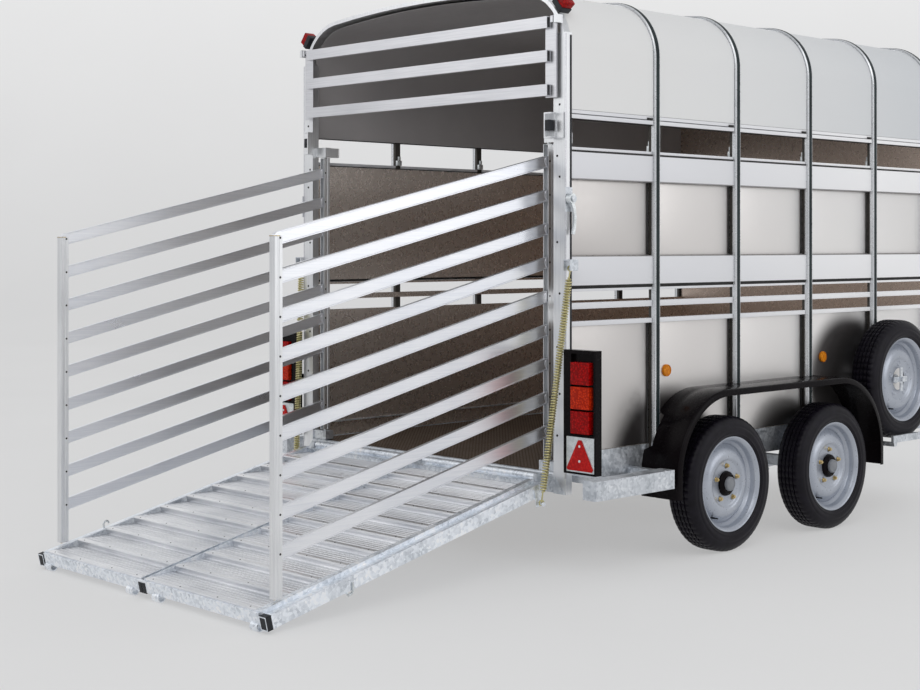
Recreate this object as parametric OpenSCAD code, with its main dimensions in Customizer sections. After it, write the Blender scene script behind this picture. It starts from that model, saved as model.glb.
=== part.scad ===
// Twin-axle livestock trailer with a lowered rear ramp and two folding ramp gates.
// X runs across the trailer, +Y forward to the coupling, Z up from the ground.
// Inside each module Y = 0 is the rear face of the body; place() moves it to the shared frame.

/* [Body] */
// Number of bays between the rear frame and the front frame
bays = 5; // [5:1:6]
// Length of one bay, hoop to hoop
bay = 610; // [600:5:620]
// Width over the rear frame posts
body_w = 1800; // [1796:2:1804]
// Height of the floor above the ground
floor_z = 440; // [438:1:444]
// Height at which the walls turn into the roof
eave_z = 2268; // [2250:2:2280]
// Height of the roof crown above the ground
roof_z = 2578; // [2560:2:2600]
// Radius of the roof's corners
roof_r = 275; // [255:5:280]
// Thickness of the aluminium panels
sheet_t = 8; // [6:1:10]

/* [Ramp] */
// Slope of the lowered ramp in degrees
ramp_slope = 13; // [12.9:0.1:13.1]
// Length of the ramp from hinge to rear end
ramp_len = 1545; // [1540:1:1550]
// Pitch of the ramp's treads
tread_pitch = 146.5; // [140:0.5:147]
// Step height of a tread
tread_step = 26; // [20:1:30]

/* [Gates] */
// Number of rails in each ramp gate
rail_count = 9; // [5:1:9]
// Vertical spacing of the rail pivots
rail_pitch = 146; // [140:1:146]
// Height of a rail
rail_h = 50; // [40:1:50]
// Horizontal distance between the two posts' pivots
gate_reach = 1458; // [1440:1:1460]

/* [Wheels] */
// Outer radius of a tyre
tyre_r = 313; // [305:1:316]
// Width of a tyre
tyre_w = 154; // [150:2:156]
// Outer radius of the rim flange
rim_r = 220; // [215:1:224]
// Distance between the two axles
axle_gap = 850; // [840:5:880]
// Middle of the axles, forward of the rear frame
axle_y = 1390; // [1380:5:1400]
// Radius of the wheel bolt circle
stud_circle_r = 82.5; // [75:0.5:85]

/* [Drawbar] */
// Reach of the towing ball's centre, forward of the front wall
ball_reach = 1300; // [1290:10:1400]
// Height of the draw tube's axis
draw_z = 455; // [450:1:460]
// Radius of the towing ball that the coupling takes
ball_r = 25; // [25:0.1:25]

/* [Fits] */
// Radial clearance of a running fit
fit = 0.05; // [0.02:0.01:0.1]

/* [Hidden] */
$fn = 48;
body_len = bays * bay;
ball_y = body_len + ball_reach;
nose_r = 46;

// roof outline: corner circle, tangent crown circle
hoop_x = body_w / 2 + 8;
corner_x = hoop_x - roof_r;
rise = roof_z - eave_z;
crown_r = (corner_x * corner_x + rise * rise - roof_r * roof_r) / (2 * (rise - roof_r));
crown_z = roof_z - crown_r;
join_a = atan2(eave_z - crown_z, corner_x);

// walls, measured outwards from the centre
hoop_t = 40;
hoop_w = 36;
panel_x = hoop_x - hoop_t;
band_x = hoop_x - 15;
post_x = body_w / 2;
post_w = 72;
post_d = 38;

// wall levels above the ground
side_rail_z = 516;
lower_panel_z = [520, 1066];
sill_rail_z = [1067, 1088];
slat_z = [1141, 1168];
slat_top_z = [1217, 1228];
low_band_z = [1240, 1370];
mid_panel_z = [1372, 1700];
high_band_z = [1702, 1822];
window_rail_z = [1826, 1840];
drip_rail_z = [1962, 2000];

// ramp hinge and gate pivots
hinge_y = -30;
hinge_z = floor_z - 22;
hinge_tube_r = 17;
hinge_pin_r = 10;
gate_x = 770;
gate_y = 24;
gate_swing_y = 33;
gate_rise = gate_reach * tan(ramp_slope);
rear_pivot_z = 276;
rail_t = 20;
rail_pin_r = 4;
rail_len = gate_reach / cos(ramp_slope);
post_t = 30;
channel_back = 29;
channel_front = 10;
front_post_z = [490, 1855];
rear_post_z = [112, 1452];

// ramp springs: upper anchor, and lower anchor given in the ramp's own frame
spring_top = [post_x + 24, 2, 1322];
spring_lug = [-84, -85];
spring_foot = [
    844,
    hinge_y + spring_lug[0] * cos(ramp_slope) - spring_lug[1] * sin(ramp_slope),
    hinge_z + spring_lug[0] * sin(ramp_slope) + spring_lug[1] * cos(ramp_slope)
];

// wheels
wheel_x = 988;
wheel_z = tyre_r;
spindle_r = 20;
spare_x = 992;
spare_y = axle_y + 1084;
spare_z = 708;
mudguard_x = [869, 1080];
mudguard_r = 380;
mudguard_z = 755;

// running gear and drawbar
beam_x = 590;
arm_z = [335, 405];
jockey_x = -222;
jockey_y = ball_y - 420;
jockey_r = 24;
jockey_wheel_r = 105;
trail = 38;
housing_y = [ball_y - 500, ball_y - 240];
lever_y = ball_y - 440;
lever_x = 62;
catch_y = ball_y - 58;
catch_z = draw_z + 42;

// the frame's origin is under the middle of the model's length
rear_end = hinge_y - ramp_len * cos(ramp_slope) + 6 * sin(ramp_slope);
mid_y = (rear_end + ball_y + nose_r) / 2;

// ---------- helpers ----------

module place() {
    translate([0, -mid_y, 0]) children();
}

module both_sides() {
    children();
    mirror([1, 0, 0]) children();
}

module on_side(s) {
    if (s > 0) children();
    else mirror([1, 0, 0]) children();
}

module block(lo, hi) {
    translate(lo) cube(hi - lo);
}

module rod_x(r, x, y, z) {
    translate([x[0], y, z]) rotate([0, 90, 0]) cylinder(r = r, h = x[1] - x[0]);
}

module rod_y(r, x, y, z) {
    translate([x, y[1], z]) rotate([90, 0, 0]) cylinder(r = r, h = y[1] - y[0]);
}

module rod_z(r, x, y, z) {
    translate([x, y, z[0]]) cylinder(r = r, h = z[1] - z[0]);
}

// extrudes an X-Z outline along Y
module along_y(y) {
    translate([0, y[1], 0]) rotate([90, 0, 0]) linear_extrude(y[1] - y[0]) children();
}

// extrudes a Y-Z outline along X
module along_x(x) {
    translate([x[0], 0, 0]) rotate([90, 0, 90]) linear_extrude(x[1] - x[0]) children();
}

function reversed(list) = [for (i = [len(list) - 1:-1:0]) list[i]];

// roof outline moved inwards by inset, from the right eave to the left eave
function roof_line(inset) = concat(
    [for (i = [0:8]) let (a = i * join_a / 8)
        [corner_x + (roof_r - inset) * cos(a), eave_z + (roof_r - inset) * sin(a)]],
    [for (i = [1:7]) let (a = join_a + i * (180 - 2 * join_a) / 8)
        [(crown_r - inset) * cos(a), crown_z + (crown_r - inset) * sin(a)]],
    [for (i = [8:-1:0]) let (a = i * join_a / 8)
        [-corner_x - (roof_r - inset) * cos(a), eave_z + (roof_r - inset) * sin(a)]]
);

// portal that follows the roof and stands on legs down to foot_z
module portal(outer, inner, foot_z, y) {
    along_y(y) polygon(concat(
        [[hoop_x - outer, foot_z]], roof_line(outer), [[outer - hoop_x, foot_z]],
        [[inner - hoop_x, foot_z]], reversed(roof_line(inner)), [[hoop_x - inner, foot_z]]
    ));
}

// length of bay number i that is free between two hoops
function bay_y(i) = [
    i == 0 ? post_d + 1 : i * bay + hoop_w / 2 + 1,
    i == bays - 1 ? body_len - hoop_w - 1 : (i + 1) * bay - hoop_w / 2 - 1
];

// ramp frame of reference: u runs down the ramp from the hinge, v stands square to it
module on_ramp() {
    translate([0, hinge_y, hinge_z]) rotate([ramp_slope, 0, 0]) children();
}

// ---------- chassis and floor ----------

module side_rail() {
    y = [post_d + 1, body_len - 22];
    block([panel_x - 6.5, y[0], 395], [panel_x - 0.5, y[1], side_rail_z]);
    block([panel_x - 28, y[0], side_rail_z - 6], [panel_x - 1, y[1], side_rail_z]);
    block([panel_x - 28, y[0], 395], [panel_x - 1, y[1], 401]);
}

module drawbar_arm() {
    x_root = beam_x + 30;
    x_tip = 75;
    y_root = body_len - 1;
    y_tip = ball_y - 230;
    translate([0, 0, arm_z[0]]) linear_extrude(arm_z[1] - arm_z[0])
        polygon([[x_root, y_root], [x_root - 60, y_root], [x_tip - 55, y_tip], [x_tip, y_tip]]);
}

module outrigger() {
    x = [1014, 1090];
    y = [-20, 500];
    z = [345, 428];
    difference() {
        block([x[0], y[0], z[0]], [x[1], y[1], z[1]]);
        block([x[0] + 4, y[0] - 1, z[0] + 4], [x[1] - 4, y[1] + 1, z[1] - 4]);
    }
    block([x[0] + 4, y[0], z[0] + 4], [x[1] - 4, y[0] + 4, z[1] - 4]);
    for (at = [64, 440])
        block([panel_x + 0.5, at, 397], [x[0] + 2, at + 40, 425]);
}

module chassis() {
    color("lightsteelblue") place() {
        both_sides() {
            side_rail();
            block([beam_x - 30, post_d + 1, 342], [beam_x + 30, body_len - 2, 398]);
            drawbar_arm();
            outrigger();
            for (y = [axle_y - axle_gap / 2 - 340, axle_y, axle_y + axle_gap / 2 + 340])
                difference() {
                    block([beam_x - 38, y - 72, 292], [beam_x + 38, y + 72, 345]);
                    block([beam_x - 30.5, y - 73, 291], [beam_x + 30.5, y + 73, 341.5]);
                }
        }
        for (n = [0:8]) let (y = post_d + 1 + n * (body_len - post_d - 43) / 8)
            block([-panel_x + 29, y, 398.5], [panel_x - 29, y + 40, floor_z - 9]);
        block([-100, housing_y[0] - 20, arm_z[1] + 0.5], [100, housing_y[1] + 20, arm_z[1] + 8]);
        jockey_clamp();
    }
}

module jockey_clamp() {
    difference() {
        union() {
            rod_z(jockey_r + 9, jockey_x, jockey_y, [345, 395]);
            block([jockey_x, jockey_y - 22, 348], [-100, jockey_y + 22, 392]);
        }
        rod_z(jockey_r + fit, jockey_x, jockey_y, [340, 400]);
    }
    rod_x(7, [jockey_x - 95, jockey_x - jockey_r - 6], jockey_y, 370);
    rod_y(6, jockey_x - 92, [jockey_y - 45, jockey_y + 45], 370);
}

module floor() {
    color("peru") place() difference() {
        block([-panel_x + 31, post_d + 1, floor_z - 8], [panel_x - 31, body_len - 22, floor_z]);
        for (x = [-400, 0, 400])
            rod_z(9, x, body_len / 2, [floor_z - 20, floor_z + 20]);
        // notches for the lower hinge blocks of the gates
        both_sides() block([733, post_d, floor_z - 9], [panel_x - 30, 60, floor_z + 1]);
    }
}

// ---------- body ----------

module rear_frame() {
    color("gainsboro") place() {
        both_sides()
            block([post_x - post_w, 0, 350], [post_x, post_d, eave_z + 60]);
        difference() {
            portal(12, 30, eave_z, [0, post_d]);
            block([-hoop_x, -1, eave_z - 1], [-post_x + post_w, post_d + 1, eave_z + 60]);
            block([post_x - post_w, -1, eave_z - 1], [hoop_x, post_d + 1, eave_z + 60]);
        }
        block([-post_x + post_w, 8, 352], [post_x - post_w, post_d, floor_z - 4]);
        rod_x(11, [-post_x + post_w, post_x - post_w], 10, floor_z - 10);
        both_sides() {
            block([756, hinge_y - 20, hinge_z - 22], [776, 10, hinge_z + 14]);
            rod_x(hinge_pin_r, [700, 758], hinge_y, hinge_z);
            gate_hinge_blocks();
            latch_plate();
            spring_bracket();
            buffer();
            block([866, -40, 2367], [882, 0, 2403]);
            rod_x(8, [842, 868], -26, 2385);
        }
    }
}

module gate_hinge_blocks() {
    inner = post_x - post_w;
    difference() {
        translate([0, 0, 1862]) linear_extrude(46)
            polygon([[inner, 22], [inner, 57], [812, 140], [788, 140], [776, 124], [776, 57], [752, 57],
                     [752, 22]]);
        rod_z(8 + fit, gate_x, gate_swing_y, [1860, 1910]);
    }
    difference() {
        block([735, 8, 442], [inner, 58, 484]);
        rod_z(8 + fit, gate_x, gate_swing_y, [440, 486]);
    }
}

module latch_plate() {
    block([post_x, -8, 1560], [post_x + 5, 36, 1665]);
    rod_x(8, [post_x, post_x + 34], 12, 1615);
    rod_x(13, [post_x + 33, post_x + 39], 12, 1615);
}

module spring_bracket() {
    x = [post_x, post_x + 44];
    z = [1308, 1356];
    block([x[1] - 5, -20, z[0]], [x[1], 30, z[1]]);
    block([x[0], -20, z[1] - 5], [x[1], 30, z[1]]);
    block([x[0], -20, z[0]], [x[0] + 5, 30, z[1]]);
    rod_x(5, [x[0] + 2, x[1] - 2], spring_top[1], spring_top[2]);
}

module buffer() {
    block([844, -6, 1876], [892, 0, 1986]);
    block([812, -44, 1876], [818, -8, 1986]);
    block([812, -44, 1980], [850, -38, 1986]);
    block([812, -44, 1876], [850, -38, 1882]);
    block([812, -12, 1876], [850, -6, 1986]);
    block([844, -44, 1876], [850, -6, 1882]);
    block([844, -44, 1980], [850, -6, 1986]);
}

module hoops() {
    color("silver") place() {
        for (i = [1:bays - 1])
            portal(0, hoop_t, floor_z, [i * bay - hoop_w / 2, i * bay + hoop_w / 2]);
        portal(0, hoop_t, floor_z, [body_len - hoop_w, body_len]);
    }
}

module side_panels() {
    color("lightgray") place() both_sides() for (i = [0:bays - 1]) {
        y = bay_y(i);
        for (z = [lower_panel_z, mid_panel_z])
            block([panel_x - sheet_t, y[0], z[0]], [panel_x, y[1], z[1]]);
    }
}

module side_bands() {
    color("whitesmoke") place() both_sides() for (i = [0:bays - 1]) {
        y = bay_y(i);
        for (z = [low_band_z, high_band_z])
            block([panel_x - sheet_t, y[0], z[0]], [band_x, y[1], z[1]]);
        for (z = [sill_rail_z, slat_z, slat_top_z, window_rail_z])
            block([panel_x - sheet_t, y[0], z[0]], [band_x - 3, y[1], z[1]]);
        block([panel_x - sheet_t, y[0], drip_rail_z[0]], [band_x + 5, y[1], drip_rail_z[1]]);
    }
}

module roof() {
    color("white") place() for (i = [0:bays - 1])
        portal(13, 20, drip_rail_z[1] + 1, bay_y(i));
}

module front_wall() {
    color("gainsboro") place() {
        along_y([body_len - 20, body_len - 12]) polygon(concat(
            [[hoop_x - hoop_t - 1, floor_z + 2]], roof_line(hoop_t + 1),
            [[1 + hoop_t - hoop_x, floor_z + 2]]
        ));
        for (x = [-600, -200, 200, 600])
            block([x - 15, body_len - 12, floor_z + 40], [x + 15, body_len - 1, 2400]);
    }
}

module mudguard_outline(grow) {
    half = axle_gap / 2 + 45;
    r = mudguard_r + grow;
    z = mudguard_z - mudguard_r;
    polygon(concat(
        [[axle_y + half + r, z - 90]],
        [for (a = [0:9:90]) [axle_y + half + r * cos(a), z + r * sin(a)]],
        [for (a = [90:9:180]) [axle_y - half + r * cos(a), z + r * sin(a)]],
        [[axle_y - half - r, z - 90]]
    ));
}

module mudguards() {
    x = mudguard_x;
    color("dimgray") place() both_sides() {
        difference() {
            along_x(x) mudguard_outline(0);
            along_x([x[0] - 1, x[1] + 1]) translate([0, -1]) mudguard_outline(-5);
            for (i = [1:bays - 1])
                block([x[0] - 1, i * bay - 20, 200], [hoop_x + 1, i * bay + 20, 900]);
        }
        difference() {
            along_x([x[1] - 5, x[1]]) mudguard_outline(0);
            along_x([x[1] - 6, x[1] + 1]) translate([0, -1]) mudguard_outline(-30);
        }
    }
}

// ---------- lights ----------

module light_housings() {
    color("dimgray") place() both_sides() {
        difference() {
            block([post_x + 18, -34, 452], [1098, 4, 975]);
            block([post_x + 60, -35, 618], [1086, -16, 960]);
            block([post_x + 40, -5, 470], [1080, 5, 940]);
        }
        for (z = [520, 700])
            block([post_x + 1, 4, z], [post_x + 38, 40, z + 60]);
    }
}

// three square lenses above a reflective triangle on its plate
module rear_lenses() {
    color("crimson") place() both_sides() {
        for (z = [624, 727, 830]) {
            block([966, -44, z], [1074, -17, z + 97]);
            block([972, -48, z + 6], [1068, -44, z + 91]);
        }
        block([938, -38, 462], [1092, -35, 610]);
        along_y([-43, -38])
            polygon([[942, 478], [948, 468], [1082, 468], [1088, 478], [1023, 600], [1007, 600]]);
    }
}

// red lamps at the roof's corners and round amber reflectors on the side
module marker_lamps() {
    color("red") place() both_sides() {
        translate([corner_x, 0, eave_z]) rotate([0, -38, 0])
            block([roof_r + 1, -8, -24], [roof_r + 34, 48, 24]);
        for (y = [715, 1992])
            rod_x(28, [panel_x + 0.5, panel_x + 12], y, 842);
    }
}

// ---------- axles and springs ----------

function leaf(span, sag, z, t) = concat(
    [for (s = [-1:0.2:1.001]) [s * span / 2, z - sag * (1 - s * s)]],
    [for (s = [1:-0.2:-1.001]) [s * span / 2, z - sag * (1 - s * s) - t]]
);

module leaf_pack() {
    for (n = [0:3]) let (span = 720 - 150 * n)
        polygon(leaf(span, 0.00007 * span * span, wheel_z - 25 - 7 * n + 0.00007 * span * span, 8));
}

module running_gear() {
    color("slategray") place() for (s = [-1, 1]) {
        y = axle_y + s * axle_gap / 2;
        block([-850, y - 26, wheel_z - 26], [850, y + 26, wheel_z + 26]);
        both_sides() {
            rod_x(spindle_r, [846, wheel_x + 30], y, wheel_z);
            rod_x(104, [872, 877], y, wheel_z);
            rod_x(30, [848, 874], y, wheel_z);
            along_x([beam_x - 28, beam_x + 28]) translate([y, 0]) leaf_pack();
            block([beam_x - 43, y - 48, wheel_z - 64], [beam_x + 43, y + 48, wheel_z - 55]);
            for (e = [-1, 1]) {
                rod_x(12, [beam_x - 29, beam_x + 29], y + e * 360, 320);
                for (x = [beam_x - 35, beam_x + 35])
                    rod_z(6, x, y + e * 34, [wheel_z - 70, wheel_z + 20]);
            }
        }
    }
}

// ---------- wheels ----------

// tyre on the Z axis: C-shaped section, open towards the rim
module tyre_body() {
    w = tyre_w / 2;
    r = tyre_r;
    rotate_extrude($fn = 96) polygon([
        [206, -w + 25.5], [214, -w + 19.5], [220.6, -w + 15], [220.6, -w + 8], [236, -w + 2],
        [256, -w], [282, -w + 5], [r - 10, -w + 16], [r, -w + 26],
        [r, w - 26], [r - 10, w - 16], [282, w - 5], [256, w], [236, w - 2], [220.6, w - 8],
        [220.6, w - 15], [214, w - 19.5], [206, w - 25.5], [206, w - 32], [226, w - 24],
        [284, w - 18], [r - 16, w - 34],
        [r - 16, -w + 34], [284, -w + 18], [226, -w + 24], [206, -w + 32]
    ]);
}

// rim barrel and dished disc on the Z axis, outer face towards +Z
module disc_wheel() {
    f = tyre_w / 2 - 9;
    difference() {
        rotate_extrude($fn = 96) union() {
            polygon([
                [rim_r, f], [rim_r - 4, f], [rim_r - 12, f - 8], [200, f - 12], [200, f - 40],
                [182, f - 52], [182, -f + 20], [200, -f + 12], [rim_r - 12, -f + 8],
                [rim_r - 4, -f], [rim_r, -f], [rim_r, -f + 5], [rim_r - 6, -f + 10],
                [205, -f + 14], [205, -f + 16], [187, -f + 24], [187, f - 56],
                [205, f - 43], [205, f - 16], [rim_r - 6, f - 10], [rim_r, f - 5]
            ]);
            polygon([
                [57, f - 34], [108, f - 34], [116, f - 24], [140, f - 22], [168, f - 44],
                [184, f - 56], [184, f - 66], [166, f - 52], [138, f - 29], [118, f - 31],
                [110, f - 41], [57, f - 41]
            ]);
        }
        for (a = [18:72:359])
            rotate(a) translate([stud_circle_r, 0, f - 50]) cylinder(r = 8, h = 30);
    }
}

// hub with drum, studs, nuts and cap; the spindle bore is open at the back
module hub() {
    f = tyre_w / 2 - 9;
    back = -tyre_w / 2 - 32;
    difference() {
        union() {
            translate([0, 0, back]) cylinder(r = 108, h = 62);
            translate([0, 0, back + 61]) cylinder(r = 100, h = f - 41 - back - 61);
            translate([0, 0, f - 43]) cylinder(r = 56, h = 22);
            translate([0, 0, f - 22]) cylinder(r = 44, h = 6);
            translate([0, 0, f - 17]) cylinder(r = 31, h = 16);
        }
        translate([0, 0, back - 1]) cylinder(r = spindle_r + fit, h = f - back - 27);
        translate([0, 0, back - 1]) cylinder(r = 96, h = 45);
    }
    difference() {
        translate([0, 0, back]) cylinder(r = 45, h = 50);
        translate([0, 0, back - 1]) cylinder(r = spindle_r + fit, h = 60);
    }
    for (a = [18:72:359])
        rotate(a) translate([stud_circle_r, 0, f - 43]) {
            cylinder(r = 6, h = 26);
            translate([0, 0, 8.5]) cylinder(r = 11, h = 13.5, $fn = 6);
        }
}

// a pressed wheel on its hub, with its axis along X
module road_rim(s, y) {
    place() translate([s * wheel_x, y, wheel_z]) rotate([0, s * 90, 0]) {
        disc_wheel();
        hub();
    }
}

module road_tyre(s, y) {
    place() translate([s * wheel_x, y, wheel_z]) rotate([0, s * 90, 0]) tyre_body();
}

rear_axle = axle_y - axle_gap / 2;
front_axle = axle_y + axle_gap / 2;

module tyre_rear_left() { color("dimgray") road_tyre(-1, rear_axle); }
module tyre_rear_right() { color("dimgray") road_tyre(1, rear_axle); }
module tyre_front_left() { color("dimgray") road_tyre(-1, front_axle); }
module tyre_front_right() { color("dimgray") road_tyre(1, front_axle); }
module rim_rear_left() { color("silver") road_rim(-1, rear_axle); }
module rim_rear_right() { color("silver") road_rim(1, rear_axle); }
module rim_front_left() { color("silver") road_rim(-1, front_axle); }
module rim_front_right() { color("silver") road_rim(1, front_axle); }

module spare_tyre() {
    color("dimgray") place() translate([spare_x, spare_y, spare_z]) rotate([0, 90, 0]) tyre_body();
}

module spare_rim() {
    color("silver") place() translate([spare_x, spare_y, spare_z]) rotate([0, 90, 0]) disc_wheel();
}

// stub and clamp bar through the spare's centre, and the rail below it
module spare_carrier() {
    f = tyre_w / 2 - 9;
    color("silver") place() {
        rod_x(24, [hoop_x + 5, spare_x + f - 50], spare_y, spare_z);
        rod_x(14, [spare_x + f - 50, spare_x + f - 4], spare_y, spare_z);
        block([hoop_x + 0.5, spare_y - 70, spare_z - 90], [hoop_x + 6, spare_y + 70, spare_z + 90]);
        block([spare_x + f - 33, spare_y - 64, spare_z - 14], [spare_x + f - 22, spare_y + 64, spare_z + 14]);
        block([spare_x + f - 22, spare_y - 12, spare_z - 62], [spare_x + f - 16, spare_y + 12, spare_z + 62]);
        block([1077, spare_y - 160, 388], [1091, spare_y + 410, 424]);
        for (y = [spare_y - 134, spare_y + 356]) {
            block([panel_x, y, 366], [1078, y + 30, 386]);
            block([panel_x, y, 366], [panel_x + 6, y + 30, 430]);
            block([1072, y, 366], [1078, y + 30, 420]);
        }
    }
}

// ---------- drawbar ----------

module overrun_housing() {
    y = housing_y;
    color("silver") place() difference() {
        union() {
            block([-42, y[0], arm_z[1] + 8.5], [42, y[1], draw_z + 42]);
            rod_y(38, 0, [y[1] - 2, y[1] + 26], draw_z);
            block([42, lever_y - 30, draw_z - 22], [50, lever_y + 30, draw_z + 30]);
            rod_x(9, [48, lever_x + 20], lever_y, draw_z + 8);
        }
        rod_y(ball_r + fit, 0, [y[0] - 1, y[1] + 30], draw_z);
    }
}

module coupling_head() {
    color("silver") place() difference() {
        union() {
            rod_y(ball_r, 0, [housing_y[0] + 110, ball_y - 110], draw_z);
            block([-34, ball_y - 130, draw_z - 32], [34, ball_y, draw_z + 26]);
            rod_z(nose_r, 0, ball_y, [draw_z - 32, draw_z + 26]);
            for (x = [-34, 26])
                block([x, catch_y - 22, draw_z + 20], [x + 8, catch_y + 16, catch_z + 12]);
            rod_x(6, [-32, 32], catch_y, catch_z);
            for (x = [-34, 34])
                rod_x(8, [x - 4, x + 4], ball_y - 100, draw_z);
        }
        rod_z(ball_r + 0.2, 0, ball_y, [draw_z - 33, draw_z - 2]);
        translate([0, ball_y, draw_z - 2]) sphere(r = ball_r + 0.2);
    }
}

module coupling_handle() {
    color("silver") place() difference() {
        union() {
            rod_x(14, [-25, 25], catch_y, catch_z);
            along_x([-24, 24]) polygon([
                [catch_y - 10, catch_z + 4], [catch_y - 120, catch_z + 30], [catch_y - 170, catch_z + 30],
                [catch_y - 170, catch_z + 38], [catch_y - 118, catch_z + 40], [catch_y, catch_z + 13.5]
            ]);
        }
        rod_x(6 + fit, [-40, 40], catch_y, catch_z);
    }
}

module handbrake_lever() {
    z = draw_z + 8;
    color("silver") place() difference() {
        union() {
            rod_x(20, [lever_x - 10, lever_x + 12], lever_y, z);
            translate([lever_x + 1, lever_y, z]) rotate([-76, 0, 0]) {
                cylinder(r = 9, h = 260);
                translate([0, 0, 240]) cylinder(r = 14, h = 100);
            }
        }
        rod_x(9 + fit, [lever_x - 20, lever_x + 20], lever_y, z);
    }
}

module jockey_leg() {
    color("silver") place() {
        difference() {
            rod_z(jockey_r, jockey_x, jockey_y, [232, 730]);
            rod_z(12 + fit, jockey_x, jockey_y, [225, 246]);
        }
        rod_z(jockey_r + 6, jockey_x, jockey_y, [716, 742]);
        rod_y(9, jockey_x, [jockey_y - 62, jockey_y + 62], 752);
        rod_z(10, jockey_x, jockey_y, [738, 756]);
    }
}

// castor fork below the leg, with its wheel's pin
module jockey_fork() {
    y = jockey_y - trail;
    z = jockey_wheel_r + 2;
    color("silver") place() {
        rod_z(12, jockey_x, jockey_y, [218, 236]);
        block([jockey_x - 38, y - 16, 219], [jockey_x + 38, jockey_y + 20, 228]);
        for (x = [-38, 33])
            block([jockey_x + x, y - 16, z - 16], [jockey_x + x + 5, y + 24, 226]);
        rod_x(8, [jockey_x - 40, jockey_x + 40], y, z);
    }
}

module jockey_wheel() {
    y = jockey_y - trail;
    z = jockey_wheel_r + 2;
    color("dimgray") place() {
        translate([jockey_x, y, z]) rotate([0, 90, 0]) rotate_extrude($fn = 64) polygon([
            [8 + fit, -28], [24, -28], [30, -12], [70, -12], [74, -24], [98, -26],
            [jockey_wheel_r, -14], [jockey_wheel_r, 14], [98, 26], [74, 24], [70, 12],
            [30, 12], [24, 28], [8 + fit, 28]
        ]);
    }
}

// ---------- ramp ----------

// end of a side rail, a cross channel and a foot, all in the ramp's own frame
module ramp_frame() {
    color("lightsteelblue") place() {
        on_ramp() both_sides() {
            difference() {
                union() {
                    rod_x(hinge_tube_r, [42, 752], 0, 0);
                    block([60, -44, -14], [745, 0, -8]);
                }
                rod_x(hinge_pin_r + fit, [690, 760], 0, 0);
            }
            difference() {
                block([785, -ramp_len, -60], [826, -48, -6]);
                block([789, -ramp_len - 1, -56], [822, -47, -10]);
            }
            block([748, -ramp_len + 12, -42], [784, -50, -36]);
            block([778, -ramp_len + 12, -42], [786, -50, 8]);
            block([756, -ramp_len + 12, 4], [786, -50, 8]);
            block([12, -ramp_len + 12, -42], [22, -46, -34]);
            block([10, -ramp_len + 12, -42], [14, -46, 9]);
            block([0, -ramp_len + 4, -46], [781, -ramp_len + 13, 3]);
            block([0, -ramp_len + 6, -45], [776, -ramp_len + 40, -41]);
            for (u = [420, 800, 1180])
                block([14, -u - 30, -41], [784, -u, -28]);
            block([0, -46, -42], [784, -40, -6]);
            block([825, spring_lug[0] - 16, spring_lug[1] - 12], [830, spring_lug[0] + 16, -20]);
            rod_x(6, [828, 858], spring_lug[0], spring_lug[1]);
            rod_x(9, [856, 860], spring_lug[0], spring_lug[1]);
        }
        both_sides() for (x = [95, 748])
            ramp_foot(x);
    }
}

// a short tube that rolls on the ground, hung from the rear channel
module ramp_foot(x) {
    r = 19;
    y = rear_end + 22;
    difference() {
        union() {
            rod_x(r, [x - 22, x + 22], y, r);
            for (side = [-16, 12])
                block([x + side, y - 4, r + 6], [x + side + 4, y + 34, 50]);
        }
        rod_x(r - 5, [x - 30, x + 30], y, r);
    }
}

// stepped treads: each one is nearly level, and ends in a riser that faces the rear
tread_count = floor((ramp_len - 60) / tread_pitch);
tread_start = ramp_len - 14 - tread_count * tread_pitch;

function tread_top(n) = let (u = tread_start + n * tread_pitch)
    [[-u, 10 - tread_step], [-(u + tread_pitch - 16), 9], [-(u + tread_pitch - 4), 10],
     [-(u + tread_pitch), 6]];

module plank_outline() {
    top = [for (n = [0:tread_count - 1]) each tread_top(n)];
    end = top[len(top) - 1];
    polygon(concat(
        top, [[end[0], 1]], [for (q = reversed([for (i = [0:len(top) - 2]) top[i]])) q + [3, -5]],
        [[-tread_start + 3, 10 - tread_step]]
    ));
}

module ramp_planks() {
    color("gainsboro") place() on_ramp() both_sides()
        along_x([15, 755]) plank_outline();
}

// envelope of a coil spring between its two hooks
module spring(s) {
    reach = spring_foot - spring_top;
    color("khaki") place() on_side(s) translate(spring_foot)
        rotate([0, acos(-reach[2] / norm(reach)), atan2(-reach[1], -reach[0])])
            translate([0, 0, 34]) cylinder(r = 16, h = norm(reach) - 62);
}

module spring_left() { spring(-1); }
module spring_right() { spring(1); }

// ---------- gates ----------

function pivot_z(i) = rear_pivot_z + (i - 1) * rail_pitch;

// one rail: a box with round ends, concentric with its two pivots
module gate_rail(s, i) {
    x = [gate_x - rail_t / 2, gate_x + rail_t / 2];
    color("gainsboro") place() on_side(s)
        translate([0, gate_y - gate_reach, pivot_z(i)]) rotate([ramp_slope, 0, 0]) difference() {
            union() {
                block([x[0], 0, -rail_h / 2], [x[1], rail_len, rail_h / 2]);
                rod_x(rail_h / 2, x, 0, 0);
                rod_x(rail_h / 2, x, rail_len, 0);
            }
            block([x[0] + 3, 30, -rail_h / 2 + 3], [x[1] - 3, rail_len - 30, rail_h / 2 - 3]);
            rod_x(rail_pin_r + fit, [x[0] - 1, x[1] + 1], 0, 0);
            rod_x(rail_pin_r + fit, [x[0] - 1, x[1] + 1], rail_len, 0);
        }
}

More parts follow.
